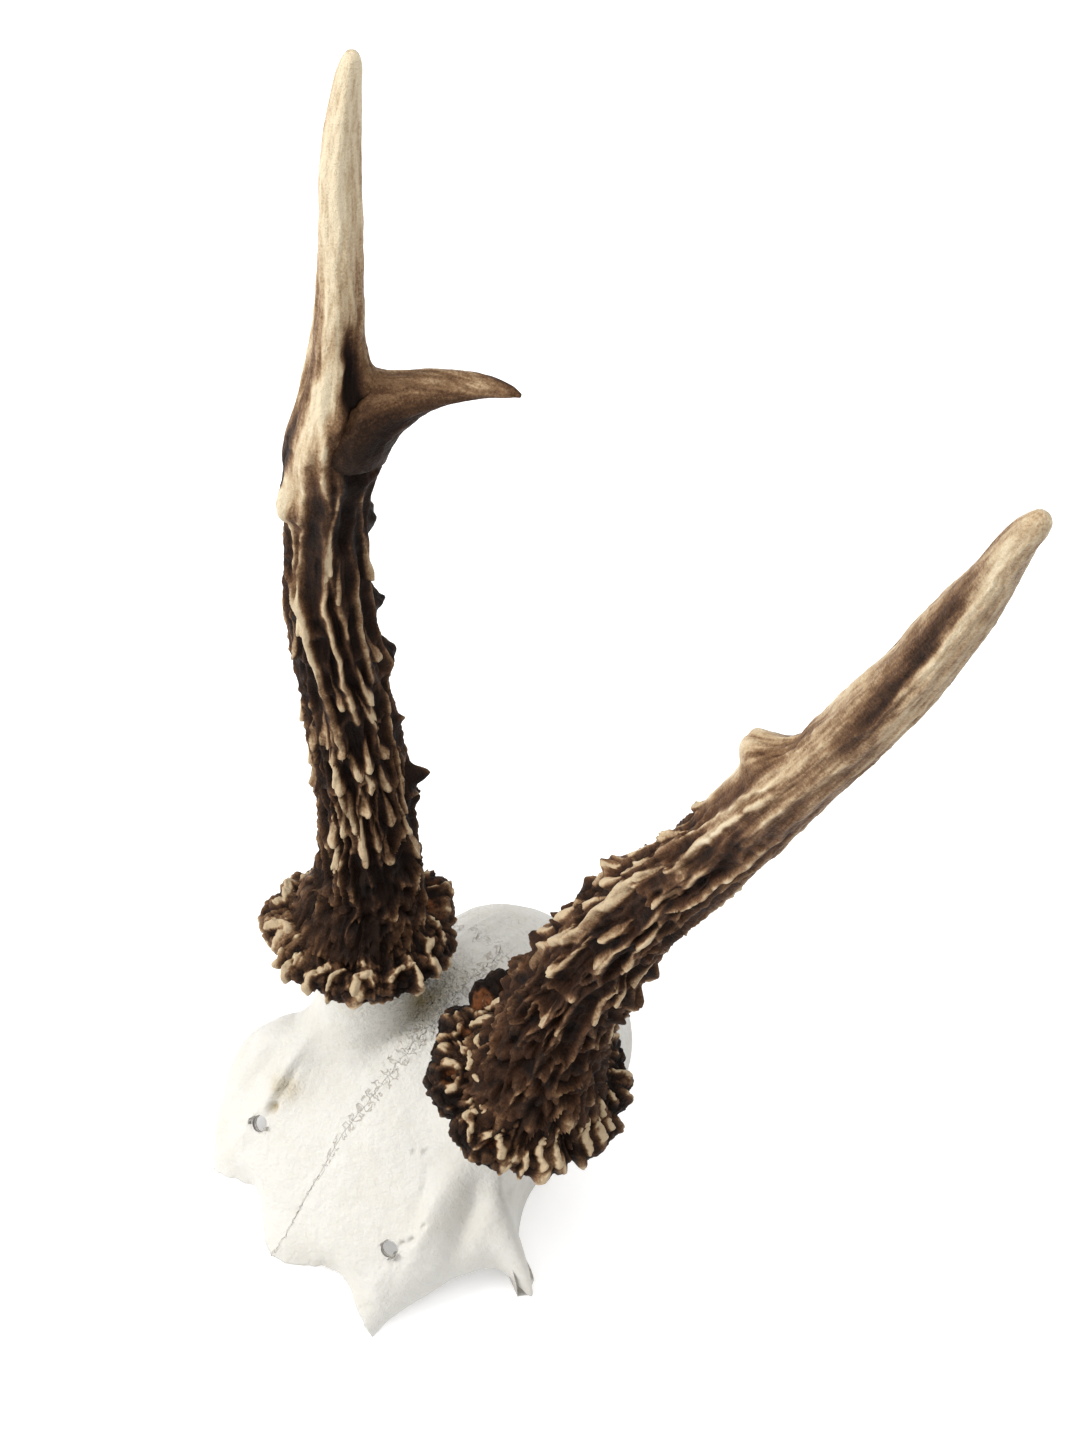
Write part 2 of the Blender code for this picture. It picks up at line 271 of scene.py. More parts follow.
def mathNode(tree, operation, first, second=0.0, third=0.0):
    node = tree.nodes.new("ShaderNodeMath")
    node.operation = operation
    for socket, value in zip(node.inputs, (first, second, third)):
        if isinstance(value, (int, float)):
            socket.default_value = value
        else:
            tree.links.new(value, socket)
    return node.outputs[0]


def rangeNode(tree, value, low, high, toLow=0.0, toHigh=1.0):
    node = tree.nodes.new("ShaderNodeMapRange")
    node.interpolation_type = 'SMOOTHSTEP'
    tree.links.new(value, node.inputs["Value"])
    for key, number in zip(("From Min", "From Max", "To Min", "To Max"), (low, high, toLow, toHigh)):
        node.inputs[key].default_value = number
    return node.outputs["Result"]


def mixNode(tree, factor, first, second):
    node = tree.nodes.new("ShaderNodeMix")
    node.data_type = 'RGBA'
    tree.links.new(factor, node.inputs[0])
    for socket, value in ((node.inputs[6], first), (node.inputs[7], second)):
        if isinstance(value, tuple):
            socket.default_value = (*value, 1.0)
        else:
            tree.links.new(value, socket)
    return node.outputs[2]


def rampNode(tree, value, stops):
    node = tree.nodes.new("ShaderNodeValToRGB")
    ramp = node.color_ramp
    while len(ramp.elements) < len(stops):
        ramp.elements.new(0.5)
    for element, (place, colour) in zip(ramp.elements, stops):
        element.position = place
        element.color = (*colour, 1.0)
    tree.links.new(value, node.inputs[0])
    return node.outputs["Color"]


def addBumps(tree, shader, layers):
    # Each layer is a height, its depth in metres and its strength, laid over the one before
    normal = None
    for height, depth, strength in layers:
        node = tree.nodes.new("ShaderNodeBump")
        node.inputs["Distance"].default_value = depth
        node.inputs["Strength"].default_value = strength
        tree.links.new(height, node.inputs["Height"])
        if normal is not None:
            tree.links.new(normal, node.inputs["Normal"])
        normal = node.outputs["Normal"]
    tree.links.new(normal, shader.inputs["Normal"])


hornLook = {
    # from the bottom of a groove to bleached ivory
    "ramp": (
        (0.0, (0.0060, 0.0030, 0.0018)), (0.20, (0.023, 0.0110, 0.0058)), (0.38, (0.076, 0.037, 0.0175)),
        (0.54, (0.180, 0.104, 0.053)), (0.70, (0.37, 0.262, 0.155)), (0.86, (0.51, 0.405, 0.265)),
        (1.0, (0.62, 0.525, 0.37)),
    ),
    "rust": (0.20, 0.070, 0.024),
    "specular": 0.09,
}


def hornMaterial():
    # Dark in the grooves, brown on the flanks and cream where it was rubbed, with fine fibres:
    # level = rise + streaks and patches of the fibre noise + ivory + specks and clouds + crest,
    # and one ramp turns the level into colour and roughness
    material, tree, shader = newMaterial("antler horn")
    place = tree.nodes.new("ShaderNodeTexCoord").outputs["Object"]
    fibre = attributeNode(tree, "fibre", "Vector")
    rise, crest, ivory, rust = (attributeNode(tree, key) for key in ("rise", "crest", "ivory", "rust"))
    thread = noiseNode(tree, fibre, 1.3, 5.0, 0.62)
    broad = noiseNode(tree, fibre, 0.36, 3.0, 0.5)
    speck = noiseNode(tree, place, 2100.0, 3.0, 0.7)
    cloud = noiseNode(tree, place, 260.0, 4.0, 0.6)
    # Streaks are strong on the bleached upper part, specks on the dark lower part
    streak = mathNode(tree, 'MULTIPLY', mathNode(tree, 'SUBTRACT', thread, 0.5),
                      mathNode(tree, 'MULTIPLY_ADD', ivory, 0.60, 0.22))
    patch = mathNode(tree, 'MULTIPLY', mathNode(tree, 'SUBTRACT', broad, 0.5),
                     mathNode(tree, 'MULTIPLY_ADD', ivory, 0.45, 0.30))
    level = mathNode(tree, 'ADD', rise, mathNode(tree, 'ADD', streak, patch))
    level = mathNode(tree, 'MULTIPLY_ADD', ivory, 0.62, level)
    level = mathNode(tree, 'MULTIPLY_ADD', mathNode(tree, 'SUBTRACT', speck, 0.5), 0.42, level)
    level = mathNode(tree, 'MULTIPLY_ADD', mathNode(tree, 'SUBTRACT', cloud, 0.5), 0.20, level)
    rubbed = mathNode(tree, 'MULTIPLY_ADD', mathNode(tree, 'SUBTRACT', cloud, 0.5), 0.5, 0.66)
    level = mathNode(tree, 'MULTIPLY_ADD', crest, rubbed, level)
    level = mathNode(tree, 'MINIMUM', level, mathNode(tree, 'MULTIPLY_ADD', ivory, 0.25, 0.80))
    colour = rampNode(tree, level, hornLook["ramp"])
    reddish = mathNode(tree, 'MULTIPLY', rust, rangeNode(tree, cloud, 0.35, 0.60))
    colour = mixNode(tree, reddish, colour, hornLook["rust"])
    tree.links.new(colour, shader.inputs["Base Color"])
    tree.links.new(rangeNode(tree, level, 0.1, 0.9, 0.62, 0.40), shader.inputs["Roughness"])
    shader.inputs["Specular IOR Level"].default_value = hornLook["specular"]
    addBumps(tree, shader, ((thread, 0.0004, 0.45), (cloud, 0.0016, 0.6), (speck, 0.0004, 0.7)))
    return material


boneLook = {
    "white": (0.575, 0.560, 0.520),
    "warm": (0.545, 0.515, 0.455),
    "line": (0.20, 0.125, 0.070),
    "stainAndShade": (0.36, 0.27, 0.105),
}


def boneMaterial():
    # Bleached and chalky, a little yellower in patches, with pores and dark suture lines
    material, tree, shader = newMaterial("bleached bone")
    place = tree.nodes.new("ShaderNodeTexCoord").outputs["Object"]
    seam, crown, porous, stainAndShade = (attributeNode(tree, key) for key in ("seam", "crown", "porous", "stainAndShade"))
    patch = noiseNode(tree, place, 70.0, 5.0, 0.6)
    grain = noiseNode(tree, place, 1400.0, 3.0, 0.6)
    # Sutures: a line winding to and fro across the marked band, as wide in its bends as between
    wind = noiseNode(tree, place, 480.0, 2.0, 0.5)
    axes = tree.nodes.new("ShaderNodeSeparateXYZ")
    tree.links.new(place, axes.inputs[0])
    lines = []
    for across, along in ((seam, axes.outputs["Y"]), (crown, axes.outputs["X"])):
        phase = mathNode(tree, 'MULTIPLY_ADD', wind, 16.0, mathNode(tree, 'MULTIPLY', along, 2300.0))
        wave = mathNode(tree, 'MULTIPLY', mathNode(tree, 'SINE', phase), 0.8)
        gap = mathNode(tree, 'ABSOLUTE', mathNode(tree, 'SUBTRACT', across, wave))
        slope = mathNode(tree, 'ADD', mathNode(tree, 'ABSOLUTE', mathNode(tree, 'COSINE', phase)), 0.25)
        lines.append(rangeNode(tree, mathNode(tree, 'DIVIDE', gap, slope), 0.06, 0.36, 1.0, 0.0))
    line = mathNode(tree, 'MULTIPLY', mathNode(tree, 'MAXIMUM', *lines), rangeNode(tree, wind, 0.25, 0.5))
    pits = tree.nodes.new("ShaderNodeTexVoronoi")
    pits.inputs["Scale"].default_value = 760.0
    tree.links.new(place, pits.inputs["Vector"])
    hole = rangeNode(tree, pits.outputs["Distance"], 0.10, 0.30, 1.0, 0.0)
    hole = mathNode(tree, 'MULTIPLY', hole, mathNode(tree, 'MULTIPLY_ADD', porous, 0.92, 0.04))
    colour = mixNode(tree, rangeNode(tree, patch, 0.42, 0.72, 0.0, 0.6), boneLook["white"],
                     boneLook["warm"])
    # Yellowish stains, and beside the right pedicle painted shade: the coronet's warm shadow on the bone,
    # laid into the colour
    colour = mixNode(tree, mathNode(tree, 'MULTIPLY', stainAndShade, rangeNode(tree, patch, 0.25, 0.6)),
                     colour, boneLook["stainAndShade"])
    dark = mathNode(tree, 'MAXIMUM', mathNode(tree, 'MULTIPLY', line, 0.40),
                    mathNode(tree, 'MULTIPLY', hole, 0.6))
    colour = mixNode(tree, dark, colour, boneLook["line"])
    tree.links.new(colour, shader.inputs["Base Color"])
    tree.links.new(rangeNode(tree, patch, 0.3, 0.7, 0.5, 0.66), shader.inputs["Roughness"])
    shader.inputs["Subsurface Weight"].default_value = 0.08
    shader.inputs["Subsurface Radius"].default_value = (0.003, 0.0018, 0.0010)
    dents = noiseNode(tree, place, 330.0, 5.0, 0.62)
    crumbs = mathNode(tree, 'MULTIPLY', noiseNode(tree, place, 820.0, 2.0, 0.6), porous)
    addBumps(tree, shader, (
        (grain, 0.00022, 0.6), (dents, 0.0014, 0.5), (crumbs, 0.0070, 1.0),
        (mathNode(tree, 'SUBTRACT', 1.0, line), 0.0006, 0.6),
        (mathNode(tree, 'SUBTRACT', 1.0, hole), 0.0005, 0.7),
    ))
    return material


def floorMaterial():
    material, tree, shader = newMaterial("paper floor")
    place = tree.nodes.new("ShaderNodeTexCoord").outputs["Object"]
    fleck = noiseNode(tree, place, 300.0, 2.0)
    colour = rampNode(tree, fleck, ((0.0, (0.90, 0.90, 0.90)), (1.0, (0.94, 0.94, 0.94))))
    tree.links.new(colour, shader.inputs["Base Color"])
    shader.inputs["Roughness"].default_value = 0.9
    shader.inputs["Emission Color"].default_value = (1.0, 1.0, 1.0, 1.0)
    shader.inputs["Emission Strength"].default_value = 0.30
    return material


horn = hornMaterial()
bone = boneMaterial()


# Beams

rightBeam = {
    "track": (
        (-21.3, 36.2, 57.2, 14.0), (-22.0, 36.9, 60.0, 14.6), (-23.1, 38.0, 64.2, 14.6),
        (-24.2, 40.4, 69.0, 13.0), (-25.5, 44.1, 75.0, 10.9), (-28.3, 47.6, 87.0, 9.4),
        (-32.5, 51.2, 103.0, 9.0), (-37.5, 54.3, 119.5, 8.3), (-42.0, 57.0, 136.0, 8.2),
        (-46.2, 59.8, 151.5, 7.8), (-48.8, 63.5, 166.5, 7.3), (-50.0, 67.2, 181.0, 7.3),
        (-51.2, 70.8, 195.0, 6.3), (-52.7, 74.5, 209.5, 4.7), (-54.1, 77.6, 223.0, 3.9),
        (-55.4, 80.2, 236.0, 3.6), (-56.6, 82.6, 248.0, 3.2), (-57.0, 85.2, 260.0, 2.35),
        (-57.0, 86.5, 264.6, 1.85), (-56.95, 87.1, 267.0, 1.15), (-56.9, 87.3, 267.7, 0.2),
    ),
    "rows": 400,
    "columns": 236,
    "seed": 3,
    "ridges": 15,
    "turn": 0.42,                        # degrees per millimetre, towards the seat
    "reliefAt": (0, 40, 95, 120, 150, 200, 221),
    "relief": (1.90, 1.60, 1.20, 0.80, 0.36, 0.16, 0.05),
    "net": (1.0, 1.0, 0.55, 0.25, 0.0, 0.0, 0.0),
    "ivoryAt": (0, 85, 110, 130, 150, 168, 190, 221),
    "ivory": (0.0, 0.02, 0.08, 0.16, 0.30, 0.66, 0.86, 0.98),
    "ivoryLean": (0.0, 0.03, 0.08, 0.12, 0.14, 0.06, 0.04, 0.04),
    "ivorySide": -125,
    "rust": 0.03,
    # from, to, degrees at each, half width, amount
    "stripes": (
        (124, 158, -140, -106, 2.1, 0.66), (150, 222, -106, -104, 1.8, 0.34),
        (98, 130, -122, -142, 1.2, 0.32), (130, 175, -176, -172, 1.4, 0.30),
        (126, 176, -150, -142, 1.0, -0.12), (126, 162, -66, -60, 1.3, -0.36),
        (126, 150, 0, 10, 9, 0.10), (-6, 36, -88, -84, 4.6, -0.40),
    ),
    # place, degrees, tail, half width, height
    "pearls": (
        (87, -29, 8, 1.3, 1.9), (79, -52, 9, 1.4, 2.1), (73, -48, 5, 1.1, 1.5), (63, -46, 8, 1.5, 2.4),
        (62, -68, 7, 1.2, 1.9), (60, -84, 6, 1.1, 1.7), (55, -55, 5, 1.2, 2.0), (56, -72, 5, 1.0, 1.6),
        (50, -84, 7, 1.3, 2.2), (46, -54, 8, 1.5, 2.3), (56, -109, 7, 1.2, 1.9), (69, -118, 9, 1.3, 1.8),
        (79, -89, 7, 1.0, 1.4), (38, -90, 6, 1.2, 1.9), (36, -62, 6, 1.3, 2.0),
        (66, -142, 8, 1.4, 2.0), (52, -160, 8, 1.6, 2.2),
        (98, -124, 10, 1.3, 1.6), (106, -70, 9, 1.0, 1.2), (66, -98, 6, 1.1, 1.5), (90, -150, 9, 1.2, 1.6),
        (108, -18, 9, 1.3, 1.8), (40, -130, 7, 1.4, 2.0), (33, -20, 8, 1.8, 2.6),
    ),
    # places, degrees at each, half width, height
    "ribs": (
        ((66, 86, 99, 111, 127), (-98, -110, -117, -154, -148), 0.9, 1.5),
        ((72, 85, 113, 134), (-73, -79, -91, -96), 0.85, 1.3),
        ((94, 108, 132), (-62, -70, -74), 0.75, 1.2),
        ((80, 100, 122), (-40, -46, -42), 0.8, 1.2),
        ((96, 120, 140), (-12, -20, -24), 0.7, 0.9),
    ),
    "spare": 46,                        # more pearls, scattered along the ridges
    "spareTop": 118,
    # place, degrees, reach along, reach round in mm, height
    "swells": (
        (118, 10, 2.5, 2.2, 2.2), (97, 6, 2.4, 2.3, 2.8), (82, 9, 2.6, 2.5, 3.2), (49, 7, 2.5, 2.4, 3.6),
        (66, 12, 1.8, 2.0, 1.2), (42, 10, 1.8, 2.0, 1.6), (127, -148, 4.4, 3.6, 3.2),
        (142, -122, 14, 3.0, 0.9), (162, -102, 20, 3.0, 0.9),
    ),
    # from, to, degrees at each, half width, depth
    "channels": ((118, 170, -60, -56, 1.7, 1.4), (124, 180, -162, -152, 1.2, 0.35)),
}

leftBeam = {
    "track": (
        (24.2, 38.0, 57.5, 14.4), (25.0, 38.2, 60.3, 15.2), (26.0, 38.6, 64.6, 15.4),
        (26.4, 40.4, 70.0, 13.6), (26.2, 43.6, 77.0, 11.6), (26.0, 47.8, 88.0, 10.1),
        (27.2, 53.5, 102.5, 9.2), (30.3, 59.7, 118.0, 8.6), (34.5, 64.8, 132.0, 8.0),
        (39.0, 69.3, 145.5, 7.4), (43.8, 73.7, 160.0, 7.0), (48.0, 78.0, 176.0, 6.7),
        (52.5, 82.0, 190.0, 5.9), (56.7, 85.7, 205.0, 5.5), (60.2, 88.6, 219.6, 5.1),
        (63.1, 91.0, 234.0, 4.4), (65.4, 92.7, 247.7, 3.5), (67.4, 94.0, 261.2, 2.6),
        (68.7, 94.5, 266.3, 2.1), (69.2, 94.7, 268.7, 1.3), (69.4, 94.8, 269.4, 0.2),
    ),
    "rows": 400,
    "columns": 236,
    "seed": 8,
    "ridges": 14,
    "turn": -0.30,
    "reliefAt": (0, 40, 95, 120, 150, 200, 226),
    "relief": (2.3, 2.0, 1.35, 0.55, 0.34, 0.24, 0.05),
    "net": (1.0, 1.0, 0.8, 0.35, 0.1, 0.0, 0.0),
    "ivoryAt": (0, 60, 90, 120, 140, 170, 200, 226),
    "ivory": (0.0, 0.0, 0.16, 0.48, 0.50, 0.48, 0.58, 0.88),
    "ivoryLean": (0.0, 0.04, 0.10, 0.10, 0.12, 0.18, 0.12, 0.0),
    "ivorySide": -120,
    "rust": 0.09,
    "stripes": (
        (122, 136, 136, 136, 3.4, 0.66), (150, 205, 150, 150, 1.6, 0.35),
        (154, 208, -122, -160, 2.7, -0.48), (96, 150, -150, -170, 0.9, 0.35),
        (160, 218, -100, -128, 1.3, 0.42),
    ),
    "pearls": (
        (71, 150, 8, 1.6, 2.4), (76, 171, 7, 1.4, 2.0), (79, -161, 8, 1.3, 1.9), (69, 178, 6, 1.2, 1.8),
        (64, -162, 8, 1.5, 2.2), (83, 170, 9, 1.4, 1.8), (87, -167, 9, 1.2, 1.6), (60, 165, 7, 1.6, 2.5),
        (106, 138, 7, 1.3, 2.0), (95, 155, 8, 1.2, 1.9),
        (52, -150, 7, 1.4, 2.0), (56, -175, 7, 1.2, 1.8), (70, -135, 9, 1.2, 1.7), (88, -128, 10, 1.1, 1.3),
        (48, 150, 6, 1.7, 2.6), (44, 172, 6, 1.4, 2.0), (62, -120, 8, 1.2, 1.7), (75, -100, 8, 1.2, 1.7),
    ),
    "ribs": (
        ((40, 52, 62, 72, 88), (166, 176, 200, 198, 186), 1.25, 2.1),
        ((58, 76, 95, 110), (-112, -112, -122, -132), 0.8, 1.2),
        ((84, 104, 128), (-160, -156, -164), 0.8, 0.9),
    ),
    "spare": 30,
    "spareTop": 108,
    "swells": (
        (75, 147, 2.3, 2.4, 3.0), (64, 148, 2.3, 2.6, 3.2), (56, 152, 2.2, 2.4, 2.4),
        (45, 150, 2.6, 2.6, 2.8), (36, 148, 2.4, 2.6, 2.8), (28, 150, 2.4, 2.6, 2.6),
        (60, -38, 2.2, 2.4, 1.8), (50, -36, 2.3, 2.4, 2.5), (41, -36, 2.2, 2.4, 2.4),
        (131, 138, 4.2, 3.8, 4.3), (120, 150, 12, 3.0, 0.8), (141, 146, 4, 3.0, -0.7),
        (164, 152, 8, 3.0, 0.7), (192, 146, 10, 3.0, 0.7),
    ),
    "channels": ((160, 204, -126, -158, 2.2, 0.45), (60, 120, -110, -120, 1.3, 0.8)),
}

# The fork's root inside the right beam and the short rear tine that leaves it
rearTine = {
    "track": (
        (-50.2, 67.2, 184.6, 4.6), (-49.0, 69.2, 188.8, 5.8), (-47.0, 72.0, 192.6, 6.2),
        (-44.9, 75.6, 196.0, 5.4), (-42.4, 79.1, 198.4, 4.5), (-39.0, 82.8, 200.3, 3.5),
        (-35.0, 86.2, 201.9, 2.7), (-31.5, 88.3, 202.9, 2.0), (-28.0, 89.8, 203.6, 1.2),
        (-25.7, 90.5, 203.9, 0.35),
    ),
    "rows": 190,
    "columns": 150,
    "seed": 21,
    "ridges": 11,
    "turn": 0.6,
    "reliefAt": (0, 12, 30, 45),
    "relief": (0.1, 0.26, 0.20, 0.05),
    "net": (0.0, 0.0, 0.0, 0.0),
    "ivoryAt": (0, 14, 22, 34, 45),
    "ivory": (0.0, 0.07, 0.26, 0.30, 0.04),
    "ivoryLean": (0.12, 0.16, 0.16, 0.12, 0.1),
    "ivorySide": 150,
    "rust": 0.0,
    "stripes": ((6, 40, 150, 120, 1.3, 0.22), (0, 40, -80, -70, 3.0, -0.12)),
    "pearls": (),
    "ribs": (),
    "spare": 0,
    "spareTop": 0,
    "swells": (),
    "channels": ((8, 40, -70, -60, 1.2, 0.35),),
}
forkFillet = 2.6


def ridgeLines(look, along, random):
    # Angle of each long ridge at each place: evenly spread, turning about the beam, and wandering
    count = look["ridges"]
    start = (np.arange(count) + random.uniform(-0.28, 0.28, count)) * 2 * pi / count
    phase = random.uniform(0, 2 * pi, (3, count))
    place = along[:, None]
    wander = 0.085 * np.sin(place / 9 + phase[0]) + 0.05 * np.sin(place / 4.3 + phase[1])
    return start - radians(look["turn"]) * place + wander + 0.16 * np.sin(place / 31 + phase[2])


def pearlField(angle, along, radius, turn, pearls):
    # A pearl is half an ellipse across; it is round below its head and drawn out to a point above
    field, worn = np.zeros(angle.shape), np.zeros(angle.shape)
    for place, degrees, tail, half, height, bend in pearls:
        up = along - place
        near = (up > -half) & (up < tail)
        lift = up[near]
        across = wrapAngle(angle[near] - np.radians(degrees - turn * lift)) * radius[near]
        across = across + bend * (np.maximum(lift, 0.0) / tail) ** 2
        drawn = np.clip(lift / tail, 0.0, 1.0)
        width = half * np.where(lift > 0, (1 - drawn) ** 0.8,
                                np.sqrt(np.clip(1 - (lift / half) ** 2, 0.0, 1.0)))
        dome = np.sqrt(np.clip(1 - (across / (width + 0.01)) ** 2, 0, 1))
        bump = height * (0.28 + 0.72 * (1 - drawn) ** 2.4) * dome
        rubbed = smoothStep(dome, 0.50, 1.0) * (1 - 0.35 * drawn) * min(1.0, height / 1.4)
        worn[near] = np.maximum(worn[near], rubbed)
        field[near] = np.maximum(field[near], bump)
    return field, worn


def ridgeField(look, lines, along, angle, radius):
    # The strongest of the long ridges, each strength * e^(-|distance across / width|^1.7); both wander
    ridges, still = np.zeros(angle.shape), along * 0
    for k in range(look["ridges"]):
        across = wrapAngle(angle - lines[:, k:k + 1]) * radius
        size = 0.84 + 0.40 * softNoise(np.stack([along / 14, still + k * 5.3, still], -1), 1.0, k)
        width = 0.80 + 0.25 * softNoise(np.stack([along / 10, still + k * 3.1, still], -1), 1.0, k)
        ridges = np.maximum(ridges, size[:, None] * np.exp(-np.abs(across / width[:, None]) ** 1.7))
    return ridges


def allPearls(look, lines, along, random):
    # The pearls of the table, and spare ones scattered along the ridges, smaller further up
    pearls = [(*row, 0.8 * sin(row[0] * 1.7)) for row in look["pearls"]]
    for _ in range(look["spare"]):
        row = int(random.uniform(0.13, look["spareTop"] / along[-1]) * len(along))
        line = lines[row, random.integers(look["ridges"])] + random.normal(0, 0.05)
        size = random.uniform(0.45, 1.0) * (1.2 - 0.55 * along[row] / look["spareTop"])
        pearls.append((along[row], np.degrees(line), random.uniform(6, 18) * size,
                       0.95 * size, random.uniform(1.2, 2.5) * size, random.normal(0, 1.3)))
    return pearls


def ribField(look, along, angle, radius):
    # The highest of the drawn ribs, each height * e^(-|distance across / half width|^1.8)
    ribs = np.zeros(angle.shape)
    for places, degrees, half, tall in look["ribs"]:
        middle = radians(1) * np.interp(along, places, degrees)[:, None]
        window = smoothStep(along, places[0] - 1.5, places[0] + 3)
        window = window * (1 - smoothStep(along, places[-1] - 8, places[-1] + 3))
        gap = wrapAngle(angle - middle) * radius / half
        ribs = np.maximum(ribs, tall * window[:, None] * np.exp(-np.abs(gap) ** 1.8))
    return ribs


def swellField(look, place, angle, radius):
    # Knobs and broad swellings: the sum of height * bell along * bell across
    swell = np.zeros(angle.shape)
    for where, degrees, reach, across, height in look["swells"]:
        gap = wrapAngle(angle - radians(degrees)) * radius
        swell += height * bell(place - where, reach) * bell(gap, across)
    return swell


def channelField(look, place, angle, radius):
    # Furrows: the sum of depth * e^(-|distance across / half width|^2.6), faded in and out
    channel = np.zeros(angle.shape)
    for first, last, start, end, half, depth in look["channels"]:
        middle = radians(1) * np.interp(place, (first, last), (start, end))
        gap = wrapAngle(angle - middle + 0.10 * np.sin(place / 6)) * radius
        window = smoothStep(place, first - 4, first + 8) * (1 - smoothStep(place, last - 10, last + 4))
        channel += depth * window * np.exp(-np.abs(gap / half) ** 2.6)
    return channel


def ivoryField(look, along, place, angle, radius, strands):
    # How bleached: a value for each height, more on one side, plus pale and dark stripes
    lean = np.cos(angle - radians(look["ivorySide"]))
    ivory = np.interp(along, look["ivoryAt"], look["ivory"])[:, None]
    ivory = ivory + np.interp(along, look["ivoryAt"], look["ivoryLean"])[:, None] * lean
    for first, last, start, end, half, amount in look["stripes"]:
        gap = wrapAngle(angle - np.radians(np.interp(place, (first, last), (start, end)))) * radius
        window = smoothStep(place, first - 5, first + 5) * (1 - smoothStep(place, last - 8, last + 8))
        ivory += amount * window * np.exp(-np.abs((gap + 0.8 * strands) / half) ** 2.4)
    return ivory


def beamSurface(look):
    # Tube round the track; ridges, pearls, swells and channels are added to the radius
    seed = look["seed"]
    random = np.random.default_rng(seed)
    track, along = evenTrack(look["track"], look["rows"])
    ahead, side, third = pathFrames(track[:, :3])
    turns = np.linspace(-pi, pi, look["columns"], endpoint=False)
    angle, place = np.meshgrid(turns, along)
    radius = np.repeat(track[:, 3:4], look["columns"], axis=1)
    relief = np.interp(along, look["reliefAt"], look["relief"])[:, None]
    around = np.stack([radius * np.cos(angle), radius * np.sin(angle), place], -1)
    fibre = around / (1.0, 1.0, 9.0)

    # Everything that grows on the beam is drawn on slightly crumpled places
    drift = 0.55 * softNoise(around, 5.0, seed + 30) + 0.30 * softNoise(around, 2.1, seed + 31)
    angle = angle + drift / radius
    rest, place = place, place + 1.3 * softNoise(around, 4.0, seed + 32)
    lines = ridgeLines(look, along, random)
    ridges = ridgeField(look, lines, along, angle, radius)
    pearls = allPearls(look, lines, along, random)
    beads, worn = pearlField(angle, place, radius, look["turn"], pearls)
    ribs = ribField(look, along, angle, radius)
    swell = swellField(look, place, angle, radius)
    channel = channelField(look, place, angle, radius)
    strands = layeredNoise(fibre, 1.3, seed, 3)
    crust = layeredNoise(around, 1.7, seed + 5, 3)

    # A net of smaller ridges, thin lines where stretched noise crosses zero, and stones at the foot
    mesh = around / (1.0, 1.0, 2.7)
    wind = softNoise(mesh, 3.3, seed + 12) + 0.35 * softNoise(mesh, 1.6, seed + 13)
    net = np.interp(along, look["reliefAt"], look["net"])[:, None] * np.exp(-np.abs(wind / 0.17) ** 1.6)
    stones = pebbles(around / (1.0, 1.0, 1.5), 2.9, seed + 20) * (1 - smoothStep(place, 16, 46))
    frame = np.maximum(np.maximum(ridges, net * 0.95), stones * 0.85)
    height = relief * (1.45 * frame - 0.75 + 0.22 * strands + 0.26 * crust) + 0.06 * strands
    height += swell - channel
    low = (height - swell) / (relief + 0.2)
    height = np.maximum(height, np.maximum(ribs, beads) + np.minimum(height, 0.1))
    outward = np.cos(turns)[None, :, None] * side[:, None] + np.sin(turns)[None, :, None] * third[:, None]
    points = track[:, None, :3] + outward * (radius + height)[..., None]
    # Pearls hang a little towards the seat
    points -= ahead[:, None] * (0.28 * np.minimum(beads, 2.5) * smoothStep(rest, 2, 12))[..., None]

    ivory = ivoryField(look, along, place, angle, radius, strands)
    fade = smoothStep(relief, 0.1, 0.7)
    tone = 0.09 * softNoise(around, 8.0, seed + 44) * fade
    rise = 0.13 + 0.14 * (1 - fade) + 0.33 * low * fade - 0.18 * channel + tone
    bare = smoothStep(place, 38, 72)
    crest = np.maximum(worn, smoothStep(ridges + 0.3 * crust, 0.75, 1.3) * 0.55 * fade * bare)
    crest = np.maximum(crest, smoothStep(frame + 0.4 * crust, 0.70, 1.5) * 0.55 * fade)
    crest = np.maximum(crest, smoothStep(ribs, 0.4, 1.3) * (0.85 - 0.6 * smoothStep(place, 96, 116)))
    values = {"fibre": fibre, "rise": rise, "crest": crest, "ivory": ivory,
              "rust": look["rust"] * fade * (1 - crest)}
    return points, outward, values


def finishTube(name, points, values, slotName, *nodes):
    rows, columns = points.shape[:2]
    # Every value gets a last axis, is carried over both closed ends, and single ones give it up again
    deep = {key: value if value.ndim == 3 else value[..., None] for key, value in values.items()}
    values = {key: closeEnds(value) for key, value in deep.items()}
    values = {key: value if value.shape[1] == 3 else value[:, 0] for key, value in values.items()}
    return buildPiece(name, closeEnds(points), tubeFaces(rows, columns), values, horn, slotName, *nodes)


points, outward, values = beamSurface(rightBeam)
tineTrack = evenTrack(rearTine["track"], 90)[0]
forkAt, forkReach = (-47.0, 72.0, 192.6), 26      # only points this close to the fork are blended
near = np.linalg.norm(points - forkAt, axis=-1) < forkReach
blend = filletRise(trackDistance(points[near], tineTrack), forkFillet)
points[near] += outward[near] * blend[:, None]
finishTube("beam_right", points, values, "antler", "antler_right")

points, outward, values = beamSurface(rearTine)
beamTrack = evenTrack(rightBeam["track"], 400)[0]
beamTrack = beamTrack[(beamTrack[:, 2] > 160) & (beamTrack[:, 2] < 230)]
blend = filletRise(trackDistance(points, beamTrack), forkFillet)
points += outward * blend[..., None]
finishTube("tine_right", points, values, "tine", "rear_tine_right", "antler_right")

points, outward, values = beamSurface(leftBeam)
finishTube("beam_left", points, values, "antler", "antler_left")


# Coronets

